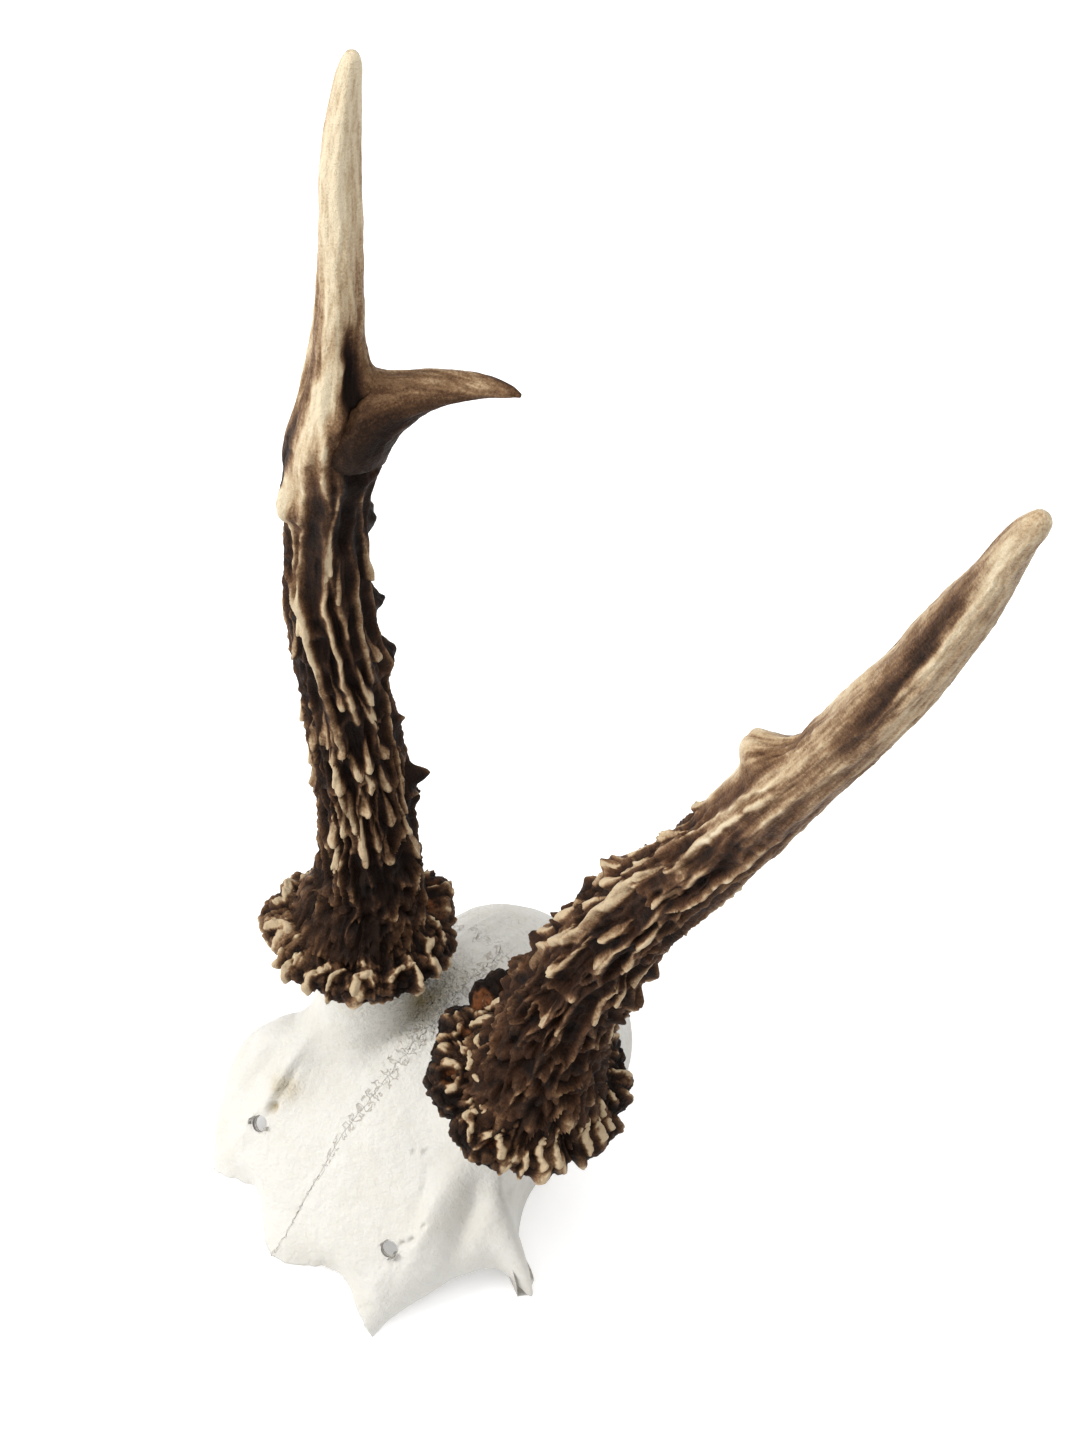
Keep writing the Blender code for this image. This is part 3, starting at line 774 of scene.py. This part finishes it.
rightCoronet = {
    "seat": (-21.3, 36.2, 57.2),
    "toward": (-24.2, 40.4, 69.0),
    # radius and height above the seat
    "profile": ((9.0, 2.0), (12.5, 1.8), (15.8, 2.4), (18.6, 3.6), (19.8, 5.6), (19.0, 7.8),
                (16.6, 9.4), (14.4, 11.0), (12.6, 13.6), (10.0, 18.0)),
    "rows": 190,
    "columns": 470,
    "seed": 31,
    "spokes": 27,
    # degrees, spread, out, up
    "lobes": ((138, 16, 0.4, 0.6), (178, 20, 1.4, 0.8), (35, 22, 1.6, 2.6), (5, 7, -1.8, -0.6),
              (-90, 30, 0.7, 0.2), (-30, 15, 0.4, 0.4), (-135, 14, 0.6, 0.2), (88, 14, 0.8, 1.0),
              (-158, 7, -1.0, -0.3), (60, 6, -1.1, -0.5), (110, 8, -1.0, -0.4)),
    # points in degrees and radius, half width, height
    "strokes": (
        (((-70, 18.5), (-64, 16.8), (-56, 16.6), (-50, 18.0), (-52, 19.6)), 0.8, 1.5),
        (((-92, 19.6), (-90, 17.6), (-84, 16.6)), 0.8, 1.5),
        (((-108, 19.8), (-106, 18.0), (-100, 17.0)), 0.7, 1.4),
        (((-122, 19.9), (-118, 18.0), (-112, 16.4)), 0.9, 1.5),
        (((-138, 19.9), (-136, 17.6)), 0.9, 1.6),
        (((-38, 19.6), (-34, 17.0), (-24, 16.0)), 0.8, 1.5),
        (((-20, 19.0), (-14, 16.6), (-12, 14.0)), 0.8, 1.4),
        (((24, 19.5), (30, 17.0), (34, 14.5)), 0.8, 1.3),
        (((45, 19.8), (44, 17.0)), 0.9, 1.3),
        (((150, 18.8), (158, 16.6), (168, 16.4), (172, 18.6)), 1.0, 1.7),
        (((128, 18.0), (134, 16.2), (142, 17.0)), 0.9, 1.5),
        (((-170, 19.6), (-168, 17.4), (-160, 16.0)), 0.9, 1.5),
    ),
    # degrees, radius, half width, depth, how rusty
    "cups": ((12, 14.2, 2.4, 1.8, 0.8), (-62, 18.2, 1.0, 1.4, 0.2), (162, 18.0, 1.2, 1.4, 0.35),
             (-100, 15.0, 1.4, 1.2, 0.1), (35, 17.2, 2.2, 1.2, 0.3)),
    "cream": 0.20,
    "tan": 0.05,
    "pale": ((155, 40, 0.16), (-145, 35, 0.10), (35, 22, 0.08), (-90, 30, 0.04)),
    "fan": (35, 18),                     # where the ribs run on without pebbles
}

leftCoronet = {
    "seat": (24.2, 38.0, 57.5),
    "toward": (26.4, 40.4, 70.0),
    "profile": ((9.0, 0.8), (12.5, 0.4), (16.2, 0.8), (19.5, 2.0), (20.8, 4.2), (20.0, 6.6),
                (17.4, 8.6), (15.0, 10.4), (13.2, 13.5), (10.4, 18.0)),
    "rows": 190,
    "columns": 470,
    "seed": 47,
    "spokes": 26,
    "lobes": ((-178, 13, 1.4, 0.4), (150, 12, 0.9, 0.6), (110, 20, 2.0, 2.6), (-120, 16, 1.3, 0.2),
              (-82, 12, 1.0, 0.0), (-40, 20, 1.2, 0.2), (-6, 14, 0.7, 0.4), (30, 14, 0.6, 0.6),
              (-150, 6, -1.4, -0.3), (-101, 5, -1.2, -0.2), (-62, 5, -1.0, -0.2), (-20, 6, -1.1, -0.3),
              (132, 5, -1.2, -0.4), (166, 4, -1.0, -0.3), (70, 8, -0.9, -0.3)),
    "strokes": (
        (((118, 13.4), (124, 14.4), (130, 15.8), (128, 17.4)), 0.8, 1.6),
        (((136, 12.8), (142, 13.6), (150, 15.0)), 0.8, 1.5),
        (((-163, 18.2), (-165, 16.8), (-172, 16.4), (-178, 17.2), (179, 18.8)), 0.65, 1.5),
        (((176, 14.6), (-178, 13.6), (-170, 14.2)), 0.7, 1.5),
        (((164, 16.8), (168, 15.2), (174, 15.6)), 0.7, 1.4),
        (((146, 18.8), (152, 17.4), (160, 17.6), (163, 19.2)), 0.8, 1.5),
        (((-34, 19.6), (-33, 17.0), (-30, 14.4)), 0.9, 1.5),
        (((-42, 19.8), (-41, 17.2), (-38, 14.6)), 0.9, 1.6),
        (((-51, 19.8), (-50, 17.0), (-46, 14.6)), 0.9, 1.5),
        (((-74, 19.8), (-75, 17.2), (-73, 14.6)), 0.9, 1.5),
        (((-84, 19.9), (-86, 17.4), (-84, 15.0)), 0.9, 1.6),
        (((-94, 19.8), (-95, 17.6)), 0.9, 1.5),
        (((-110, 19.4), (-114, 17.4), (-121, 17.0), (-124, 18.8)), 0.9, 1.7),
        (((-130, 19.9), (-134, 18.0), (-142, 17.4)), 0.9, 1.7),
        (((-126, 16.0), (-132, 15.0), (-140, 15.0)), 0.8, 1.4),
        (((-18, 18.6), (-16, 16.6), (-12, 14.8)), 0.8, 1.3),
        (((4, 19.0), (4, 16.6)), 0.9, 1.3),
        (((-160, 12.8), (-150, 12.6), (-143, 13.2)), 0.7, 1.4),
        (((160, 12.4), (168, 12.9), (176, 12.5)), 0.65, 1.3),
        (((-128, 13.0), (-122, 12.4)), 0.8, 1.4),
        (((100, 19.6), (104, 17.6), (98, 15.6)), 0.8, 1.3),
    ),
    "cups": ((128, 18.0, 2.3, 1.8, 0.75), (110, 18.4, 2.2, 1.6, 0.10), (-172, 18.3, 1.3, 1.5, 0.7),
             (-17, 12.6, 1.6, 1.8, 0.0), (-117, 18.5, 1.2, 1.3, 0.4), (156, 16.2, 1.3, 1.3, 0.6),
             (-62, 17.6, 1.3, 1.2, 0.0)),
    "cream": 0.25,
    "tan": 0.0,
    "pale": ((-52, 30, 0.20), (-108, 26, 0.16), (115, 34, -0.12), (178, 14, -0.04)),
    "fan": (-58, 34),
}


def coronetSurface(look):
    # Profile carried round the antler's axis; lobes move it out and up, and ribs, strokes, pebbles
    # and cups are added along its own normal
    random = np.random.default_rng(look["seed"])
    profile = evenTrack(look["profile"], look["rows"], 2)[0]
    slope = unit(np.gradient(profile, axis=0))
    seat = np.array(look["seat"])
    axis = unit(np.array(look["toward"]) - seat)
    side = unit(turnZero - axis * (axis @ turnZero))
    third = np.cross(axis, side)
    turns = np.linspace(-pi, pi, look["columns"], endpoint=False)
    angle, radius = np.meshgrid(turns, profile[:, 0])
    level = np.repeat(profile[:, 1:2], look["columns"], axis=1)
    rim = smoothStep(radius, 12.0, 18.5)
    out, up = np.zeros(angle.shape), np.zeros(angle.shape)
    for degrees, spread, gain, lift in look["lobes"]:
        share = turnBell(angle, degrees, spread) * rim
        out += gain * share
        up += lift * share
    flat = np.stack([radius * np.cos(angle), radius * np.sin(angle), level], -1)
    wave = 0.55 * softNoise(flat, 5.0, look["seed"]) * rim
    radius = radius + out + wave
    level = level + up
    flat = np.stack([radius * np.cos(angle), radius * np.sin(angle), level], -1)
    # The relief is drawn on slightly crumpled places
    broad = [0.8 * softNoise(flat, 4.4, look["seed"] + k) for k in (50, 60, 70)]
    narrow = [0.45 * softNoise(flat, 1.9, look["seed"] + 5 + k) for k in (50, 60, 70)]
    drift = [first + second for first, second in zip(broad, narrow)]
    outward = np.cos(angle)[..., None] * side + np.sin(angle)[..., None] * third
    flat = flat + np.stack(drift, -1)
    angle = angle + drift[0] / 17

    count = look["spokes"]
    middles = (np.arange(count) + random.uniform(-0.3, 0.3, count)) * 2 * pi / count
    run = np.linspace(0, 1, look["rows"])[:, None]
    spokes = np.zeros(angle.shape)
    for k in range(count):
        bend = 0.05 * np.sin(run * 9 + k * 2.3)
        gap = wrapAngle(angle - middles[k] - bend) * radius
        size = 0.72 + 0.45 * np.sin(run * random.uniform(14, 26) + k)
        spokes = np.maximum(spokes, size * np.exp(-np.abs(gap / random.uniform(0.95, 1.6)) ** 2.4))
    top = profile[:, 1] > profile[profile[:, 0].argmax(), 1]
    topRadius, topLevel = profile[top][::-1].T
    grit = layeredNoise(flat, 1.1, look["seed"] + 7, 2)
    strokes = np.zeros(angle.shape)
    for corners, half, height in look["strokes"]:
        polar = evenTrack([(r * cos(radians(d)), r * sin(radians(d))) for d, r in corners], 26, 2)[0]
        for x, y in polar:
            z = np.interp(np.hypot(x, y), topRadius, topLevel)
            under = np.maximum(z - 2.5 - flat[..., 2], 0)
            gap = np.hypot(flat[..., 0] - x, flat[..., 1] - y) + 0.25 * under
            strokes = np.maximum(strokes, height * np.sqrt(np.clip(1 - (gap / half) ** 2, 0, 1)))
    strokes *= 0.86 + 0.30 * grit
    cups, rust = np.zeros(angle.shape), np.zeros(angle.shape)
    for degrees, r, half, depth, rusty in look["cups"]:
        gap = np.hypot(flat[..., 0] - r * cos(radians(degrees)), flat[..., 1] - r * sin(radians(degrees)))
        here = bell(gap, half) * (flat[..., 2] > 3.0)
        cups += depth * here
        rust = np.maximum(rust, rusty * smoothStep(here, 0.15, 0.6))

    fibre = np.stack([np.cos(angle) * 16, np.sin(angle) * 16, (radius + level) / 7], -1)
    threads = layeredNoise(fibre, 0.9, look["seed"] + 2, 3)
    knobs = pebbles(flat, 2.3, look["seed"] + 4)
    zone = smoothStep(radius, 11.8, 15.5)
    fan = turnBell(angle, *look["fan"])
    height = zone * ((1.25 + 0.5 * fan) * spokes + 0.95 * (1 - fan) * knobs - 1.0)
    height = height + 0.30 * threads * (0.4 + zone) + 0.22 * grit
    height -= cups
    height = np.maximum(height, strokes + np.minimum(height, 0.1))
    radius = radius + slope[:, 1:2] * height
    level = level - slope[:, 0:1] * height
    points = seat + outward * radius[..., None] + axis * level[..., None]

    rise = 0.18 + 0.25 * height + look["tan"] * rim + 0.12 * threads
    for degrees, spread, amount in look["pale"]:
        rise += amount * turnBell(angle, degrees, spread) * rim
    rise += 0.08 * softNoise(flat, 6.0, look["seed"] + 44)
    rise -= 0.18 * (1 - rim) * turnBell(angle, -88, 32)
    crest = smoothStep(height + 0.6 * grit, 0.7 - look["cream"], 2.1 - look["cream"]) * 0.8 * zone
    crest = np.maximum(crest, smoothStep(strokes, 0.65, 1.5) * (0.85 + 0.4 * grit))
    values = {"fibre": fibre, "rise": rise, "crest": crest, "ivory": rise * 0.0,
              "rust": rust * (1 - crest)}
    return points, values


points, values = coronetSurface(rightCoronet)
finishTube("coronet_right", points, values, "antler", "antler_right")
points, values = coronetSurface(leftCoronet)
finishTube("coronet_left", points, values, "antler", "antler_left")


# Skull cap

skull = {
    "bone": 3.4,                         # thickness
    "crownAt": 60,                       # y of the suture in front of the parietals
    "gap": 0.02,                         # half the width of a suture's crack
    # y and z on the midline, nose end first, and how boxy the section is
    "midline": (
        (-17.8, 8.5, 2.6), (-9.0, 14.8, 2.8), (-1.0, 20.0, 3.2), (8.0, 26.2, 3.2), (17.0, 31.8, 2.9),
        (26.0, 36.8, 2.5), (34.0, 40.3, 2.4), (42.0, 43.2, 2.3), (52.0, 44.8, 2.1), (60.0, 43.8, 2.0),
        (71.5, 37.2, 2.0), (79.0, 26.2, 2.0), (83.0, 12.0, 2.0), (83.8, 0.0, 2.0),
    ),
    "leftEdge": (
        (27.0, -14.0, 0.0), (27.8, -7.8, 3.6), (30.4, 0.2, 6.6), (34.5, 8.5, 10.0), (38.0, 15.0, 10.4),
        (46.2, 17.6, 0.6), (37.2, 22.5, 0.0), (30.0, 33.0, 0.0), (28.6, 47.0, 0.0), (28.0, 60.0, 0.0),
        (26.0, 70.0, 0.0), (21.5, 76.8, 0.0), (17.0, 80.0, 0.0), (14.0, 81.6, 0.0),
    ),
    "rightEdge": (
        (-25.8, -12.2, 0.6), (-29.2, -7.2, 4.6), (-33.4, -0.8, 6.6), (-36.6, 6.2, 9.0),
        (-38.2, 12.6, 9.8), (-37.8, 18.0, 4.0), (-33.6, 23.5, 0.0), (-30.0, 33.0, 0.0),
        (-28.6, 47.0, 0.0), (-28.0, 60.0, 0.0), (-26.0, 70.0, 0.0), (-21.5, 76.8, 0.0),
        (-17.0, 80.0, 0.0), (-14.0, 81.6, 0.0),
    ),
    "sutureRow": 9,
    "notch": (7.4, 0.50, 0.34, 10.0),    # depth, place, width, reach
    "rows": 232,
    "columns": 196,
    "backRows": 130,
}

rightFrontal = {
    "side": -1,
    "edge": "rightEdge",
    "foramen": (-20.2, 0.2, 1.9),
    "foot": (-18.6, 34.5),
    "pedicle": ((-18.6, 34.5, 34.6), (-19.0, 34.6, 41.0), (-19.8, 35.0, 47.0), (-20.6, 35.6, 53.0),
                (-21.6, 36.5, 60.0)),
    "top": 11.4,
    # x, y, reach along, reach across, turn in degrees, height
    "forms": (
        (-21.8, 13.0, 9.0, 2.2, 4, 1.3), (-27.2, 8.0, 9.0, 3.0, 0, -1.3), (-20.2, 9.0, 4.6, 0.9, 3, -1.5),
        (-19.8, 4.4, 1.0, 0.9, 0, -1.6), (-13.0, 16.0, 12.0, 5.0, 0, -0.5), (-31.0, 16.0, 8.0, 3.0, 0, 1.0),
        (-22.5, -3.0, 4.0, 2.2, -10, 0.7),
    ),
    # x, y, spread, amount; the first two are a yellowish stain beside the pedicle, widened and strengthened
    # so that they also paint the warm shadow the coronet casts on the bone
    "stainsAndShade": (
        (-8.6, 41.1, 4.6, 1.0), (-8.0, 44.0, 9.0, 0.22), (-20.2, 9.0, 3.0, 0.7), (-19.8, 4.4, 1.4, 0.6),
    ),
    "pores": ((-12.0, 38.0, 5.0, 0.8), (-20.0, 9.0, 3.0, 0.15), (-8.0, 42.0, 6.0, 0.8)),
}

leftFrontal = {
    "side": 1,
    "edge": "leftEdge",
    "foramen": (20.2, 0.2, 1.9),
    "foot": (19.2, 36.5),
    "pedicle": ((19.2, 36.5, 35.4), (19.8, 36.7, 41.0), (21.0, 37.1, 47.0), (22.6, 37.6, 53.0),
                (24.3, 38.1, 58.5)),
    "top": 11.6,
    "forms": (
        (23.0, 10.0, 11.0, 2.6, 14, 1.3), (30.6, 14.5, 9.0, 3.4, 16, -2.6), (26.4, 20.0, 7.0, 2.4, 20, -0.8),
        (21.8, 3.0, 0.6, 0.6, 0, -1.3), (22.9, 5.0, 0.8, 0.6, 0, -1.3), (23.2, 8.8, 0.6, 0.5, 0, -1.0),
        (20.6, 9.0, 4.5, 1.5, 30, -0.6), (18.2, 13.5, 3.5, 0.7, 34, -0.4), (11.6, 16.9, 0.5, 0.5, 0, -0.8),
        (13.6, 18.5, 0.5, 0.5, 0, -0.8), (32.0, 17.0, 6.0, 2.6, 10, 1.2), (12.0, 14.0, 12.0, 5.0, 0, -0.4),
        (23.0, -6.5, 3.0, 2.5, 0, 0.8),
    ),
    "stainsAndShade": ((12.5, 42.0, 3.5, 0.35),),
    "pores": ((13.0, 38.0, 4.0, 0.5),),
}


def capPoints(side, places, across):
    # Each row of the cap is a superellipse from the midline to the edge; equal steps of the angle
    # are divided by its own radius, so that the columns stay even
    middle = rowsAt(skull["midline"], places)
    edge = rowsAt(skull["rightEdge" if side < 0 else "leftEdge"], places)
    midY, midZ, boxy = (middle[:, k:k + 1] for k in range(3))
    edgeX, edgeY, edgeZ = (edge[:, k:k + 1] for k in range(3))
    turn = across[None, :] * pi / 2
    across, high = np.sin(turn), np.maximum(np.cos(turn), 0.0)
    size = (across ** boxy + high ** boxy) ** (1 / boxy)
    across, high = across / size, high / size
    x = edgeX * across
    y = midY + (edgeY - midY) * across ** 2
    z = edgeZ + (midZ - edgeZ) * high
    z = z - 1.6 * bell(np.hypot(x + 11, y - 68), 11) * smoothStep(z, 4, 20)
    depth, at, width, reach = skull["notch"]
    front = np.maximum(0.0, 1 - (midY - skull["midline"][0][0]) / reach)
    rough = np.stack([x * 1.0, y * 0, y * 0 + side * 7], -1)
    y = y + front * depth * bell(across - at, width) + 0.5 * front ** 6 * layeredNoise(rough, 2.2, 5, 3)
    return np.stack([x, y, np.maximum(z, 0.0)], -1)


def surfaceNormals(points):
    # Turned so that they look up on the whole
    normals = unit(np.cross(np.gradient(points, axis=1), np.gradient(points, axis=0)))
    return -normals if normals[..., 2].mean() < 0 else normals


def seamShift(y):
    # The suture between the frontals: it moves to the animal's right, and winds more further back
    wide = smoothStep(y, 2, 26)
    winding = 0.75 * np.sin(y * 2.3 + np.sin(y * 0.9) * 1.4) + 0.5 * np.sin(y * 1.07 + 1.0)
    return -3.2 * smoothStep(y, -16, 12) + 0.12 * np.sin(y / 2.7) + wide * winding * 0.26


def crownShift(x):
    # The suture between the frontals and the parietals
    return 0.8 * np.sin(x * 0.9 + 0.6) + 0.55 * np.sin(x * 2.1 + 1.2 * np.sin(x * 0.5))


def sutureMarks(points):
    # Place across each suture, in half widths of its band, and a rough patch between the coronets
    x, y = points[..., 0], points[..., 1]
    wide = 0.45 + 1.9 * smoothStep(y, -4, 26)
    seam = np.clip((x - seamShift(y)) / wide, -3, 3)
    seam = np.where(y > skull["crownAt"] - 1 + crownShift(x), 3.0, seam)
    crown = np.clip((y - skull["crownAt"] - crownShift(x)) / 1.5, -3, 3)
    rough = bell(np.hypot((x + 8) / 7, (y - 42) / 10), 0.9)
    return seam, crown, rough


def shellPiece(name, outer, inner, values, hole, nodes):
    # Outer and inner face joined round the rim; a hole is the block of cells it replaces
    rows, columns = outer.shape[:2]
    index = np.arange(rows * columns).reshape(rows, columns)
    keep = np.ones((rows - 1, columns - 1), bool)
    bridge = []
    below = rows * columns
    if hole:
        row, column, reach = hole
        keep[row - reach:row + reach, column - reach:column + reach] = False
        block = index[row - reach:row + reach + 1, column - reach:column + reach + 1]
        ring = np.concatenate([block[0, :-1], block[:-1, -1], block[-1, :0:-1], block[:0:-1, 0]])
        after = np.roll(ring, -1)
        bridge = [np.stack([ring + below, after + below, after, ring], 1)]
    quads = np.stack([index[:-1, :-1], index[:-1, 1:], index[1:, 1:], index[1:, :-1]], -1)[keep]
    rim = np.concatenate([index[0, :-1], index[:-1, -1], index[-1, :0:-1], index[:0:-1, 0]])
    top, low = outer.reshape(-1, 3), inner.reshape(-1, 3)
    steps = (0.06, 0.3, 0.7, 0.94)
    rings = [top[rim] + (low[rim] - top[rim]) * step for step in steps]
    loops = [rim] + [2 * below + k * len(rim) + np.arange(len(rim)) for k in range(len(steps))]
    loops.append(rim + below)
    walls = [np.stack([a, b, np.roll(b, -1), np.roll(a, -1)], 1) for a, b in zip(loops, loops[1:])]
    faces = [np.concatenate([quads, quads[:, ::-1] + below] + walls + bridge)]
    filled = {}
    for key, value in values.items():
        drawn = value.ravel()
        filled[key] = np.concatenate([drawn, drawn * 0] + [drawn[rim] * 0.5] * len(steps))
    return buildPiece(name, np.concatenate([top, low] + rings), faces, filled, bone, "bone", *nodes)


def innerFace(outer, normals, share=1.0):
    inner = outer - normals * skull["bone"] * np.broadcast_to(share, outer.shape[:2])[..., None]
    inner[..., 2] = np.where(outer[..., 2] <= 0.0, 0.0, np.maximum(inner[..., 2], 0.0))
    return inner


def denser(first, last, count, middle, spread, extra):
    # Steps that lie closer together round one place
    fine = np.linspace(first, last, 2000)
    weight = np.cumsum(1 + extra * bell(fine - middle, spread))
    return np.interp(np.linspace(weight[0], weight[-1], count), weight, fine)


def makeFrontal(name, look):
    side = look["side"]
    places = denser(0, skull["sutureRow"], skull["rows"], 6.2, 1.6, 0.9)
    across = denser(0, 1, skull["columns"], 0.42, 0.28, 0.6)
    if side < 0:
        across = across[::-1]
    outer = capPoints(side, places, across)
    share = (1 - across)[None, :]
    outer[..., 0] += seamShift(outer[..., 1]) * share ** 5 + side * skull["gap"] * share ** 60
    back = smoothStep(places, 7.6, 9.0)[:, None]
    outer[..., 1] += crownShift(outer[..., 0]) * back - skull["gap"] * (places == places[-1])[:, None]

    # The block of cells round the foramen is drawn into a round hole
    holeX, holeY, holeRadius = look["foramen"]
    row, column = np.unravel_index(np.hypot(outer[..., 0] - holeX, outer[..., 1] - holeY).argmin(),
                                   outer.shape[:2])
    step = np.linalg.norm(outer[row + 1, column] - outer[row, column])
    reach = max(3, int(round(holeRadius / step)))
    rowGap = (np.arange(outer.shape[0])[:, None] - row) / reach
    columnGap = (np.arange(outer.shape[1])[None, :] - column) / reach
    box = np.maximum(np.abs(rowGap), np.abs(columnGap))
    offset = outer - outer[row, column]
    far = np.linalg.norm(offset, axis=-1)
    grow = np.where(box > 0, box * holeRadius / np.maximum(far, 1e-6), 1.0)
    share = np.clip((2.4 - box) / 1.4, 0.0, 1.0)
    outer = outer + offset * (np.where(far > 0, grow - 1, 0.0) * share)[..., None]

    normals = surfaceNormals(outer)
    inner = innerFace(outer, normals, 1 - 0.62 * bell(far, 6.0))
    seam, crown, pits = sutureMarks(outer)
    height = 0.16 * layeredNoise(outer, 6.0, 71, 4) - 0.28 * pits * layeredNoise(outer, 1.5, 75, 2)
    x, y = outer[..., 0], outer[..., 1]
    brow = bell(np.abs(x) - 23.5, 4.5) * np.sin(pi * np.clip(y / 36.5, 0, 1))
    height += 1.2 * brow
    for formX, formY, along, wide, degrees, tall in look["forms"]:
        c, s = cos(radians(degrees)), sin(radians(degrees))
        u, v = (y - formY) * c + (x - formX) * -s, (x - formX) * c + (y - formY) * s
        height += tall * bell(u, along) * bell(v, wide)
    height *= smoothStep(box, 0.9, 1.5)
    outer = outer + normals * height[..., None] * smoothStep(outer[..., 2], 0.0, 3.0)[..., None]

    # The pedicle is drawn up out of the face: points close to its foot climb its path
    foot = np.array([*look["foot"], look["pedicle"][0][2]])
    axis = unit(np.array(look["pedicle"][-1]) - foot)
    offset = outer - foot
    lift = offset @ axis
    level = offset - lift[..., None] * axis
    far = np.linalg.norm(offset, axis=-1)
    climb = np.clip((18.5 - far) / 12.5, 0.0, 1.0) * smoothStep(across, 0.02, 0.22)[None, :]
    path = rowsAt(look["pedicle"], (climb.ravel() ** 1.55) * (len(look["pedicle"]) - 1))
    path = path.reshape(outer.shape)
    drawn = 1 - (1 - climb) ** 2.6
    flat = np.linalg.norm(level, axis=-1)
    width = (1 - drawn) * flat + drawn * look["top"] * np.minimum(far / 6.0, 1.0)
    width = width + 0.25 * drawn * layeredNoise(unit(level) * 12 + climb[..., None] * 3, 6.0, 77, 2)
    moved = path + unit(level) * width[..., None] + ((1 - drawn) * lift)[..., None] * axis
    outer = np.where((climb > 0)[..., None], moved, outer)
    outer[..., 2] = np.maximum(outer[..., 2], 0.0)

    fields = {"stainsAndShade": np.zeros(x.shape), "pores": pits * 0.8}
    for key, field in fields.items():
        for spotX, spotY, spread, amount in look[key]:
            np.maximum(field, amount * bell(np.hypot(x - spotX, y - spotY), spread), out=field)
    values = {"seam": seam, "crown": crown, "porous": fields["pores"], "stainAndShade": fields["stainsAndShade"]}
    shellPiece(name, outer, inner, values, (row, column, reach), [name])


makeFrontal("frontal_bone_right", rightFrontal)
makeFrontal("frontal_bone_left", leftFrontal)


def makeParietal():
    places = np.linspace(skull["sutureRow"], len(skull["midline"]) - 1, skull["backRows"])
    across = np.linspace(0, 1, 150)
    right, left = capPoints(-1, places, across[:0:-1]), capPoints(1, places, across)
    outer = np.concatenate([right, left], axis=1)
    front = 1 - smoothStep(places, 9.0, 10.2)[:, None]
    outer[..., 1] += crownShift(outer[..., 0]) * front + skull["gap"] * (places == places[0])[:, None]
    normals = surfaceNormals(outer)
    inner = innerFace(outer, normals)
    seam, crown = sutureMarks(outer)[:2]
    height = 0.16 * layeredNoise(outer, 6.0, 71, 4) * smoothStep(outer[..., 2], 0, 3)
    outer = outer + normals * height[..., None]
    values = {"seam": seam, "crown": crown, "porous": seam * 0.0 + 0.12, "stainAndShade": seam * 0.0}
    shellPiece("parietal_cap", outer, inner, values, None, ["parietal_bone"])


makeParietal()


# Floor, light and camera

def addLight(name, kind, place, aim, energy, size, colour):
    light = bpy.data.lights.new(name, kind)
    light.energy = energy
    light.color = colour
    light.shape = 'DISK'
    light.size = size
    lamp = addObject(name, light)
    lamp.location = place
    lamp.rotation_euler = (Vector(aim) - Vector(place)).to_track_quat('-Z', 'Y').to_euler()


def fromCamera(right, up, toward):
    # A direction given along the camera's own axes
    az, el = radians(viewer["azimuth"]), radians(viewer["elevation"])
    back = Vector((sin(az) * cos(el), -cos(az) * cos(el), sin(el)))
    sideways = Vector((cos(az), sin(az), 0.0))
    return sideways * right + back.cross(sideways) * up + back * toward


floorMesh = bpy.data.meshes.new("floor")
floorMesh.from_pydata([(-3, -3, 0), (3, -3, 0), (3, 3, 0), (-3, 3, 0)], [], [(0, 1, 2, 3)])
floorMesh.materials.append(floorMaterial())
floor = addObject("floor", floorMesh)

middle = Vector(viewer["aim"])
addLight("key", 'AREA', middle + fromCamera(-0.85, 0.12, 0.50), middle, 8.5, 0.5, (1.0, 0.99, 0.97))
addLight("top", 'AREA', middle + fromCamera(0.1, 0.5, 0.9), middle, 8.0, 0.9, (1.0, 1.0, 1.0))

world = bpy.data.worlds.new("studio")
world.use_nodes = True
world.node_tree.nodes["Background"].inputs["Color"].default_value = (1.0, 1.0, 1.0, 1.0)
world.node_tree.nodes["Background"].inputs["Strength"].default_value = 0.55
bpy.context.scene.world = world
bpy.context.scene.view_settings.view_transform = 'Standard'

cameraData = bpy.data.cameras.new("camera")
cameraData.lens = viewer["lens"]
camera = addObject("camera", cameraData)
camera.location = middle + fromCamera(0.0, 0.0, viewer["distance"])
camera.rotation_euler = (radians(90 - viewer["elevation"]), 0.0, radians(viewer["azimuth"]))
bpy.context.scene.camera = camera
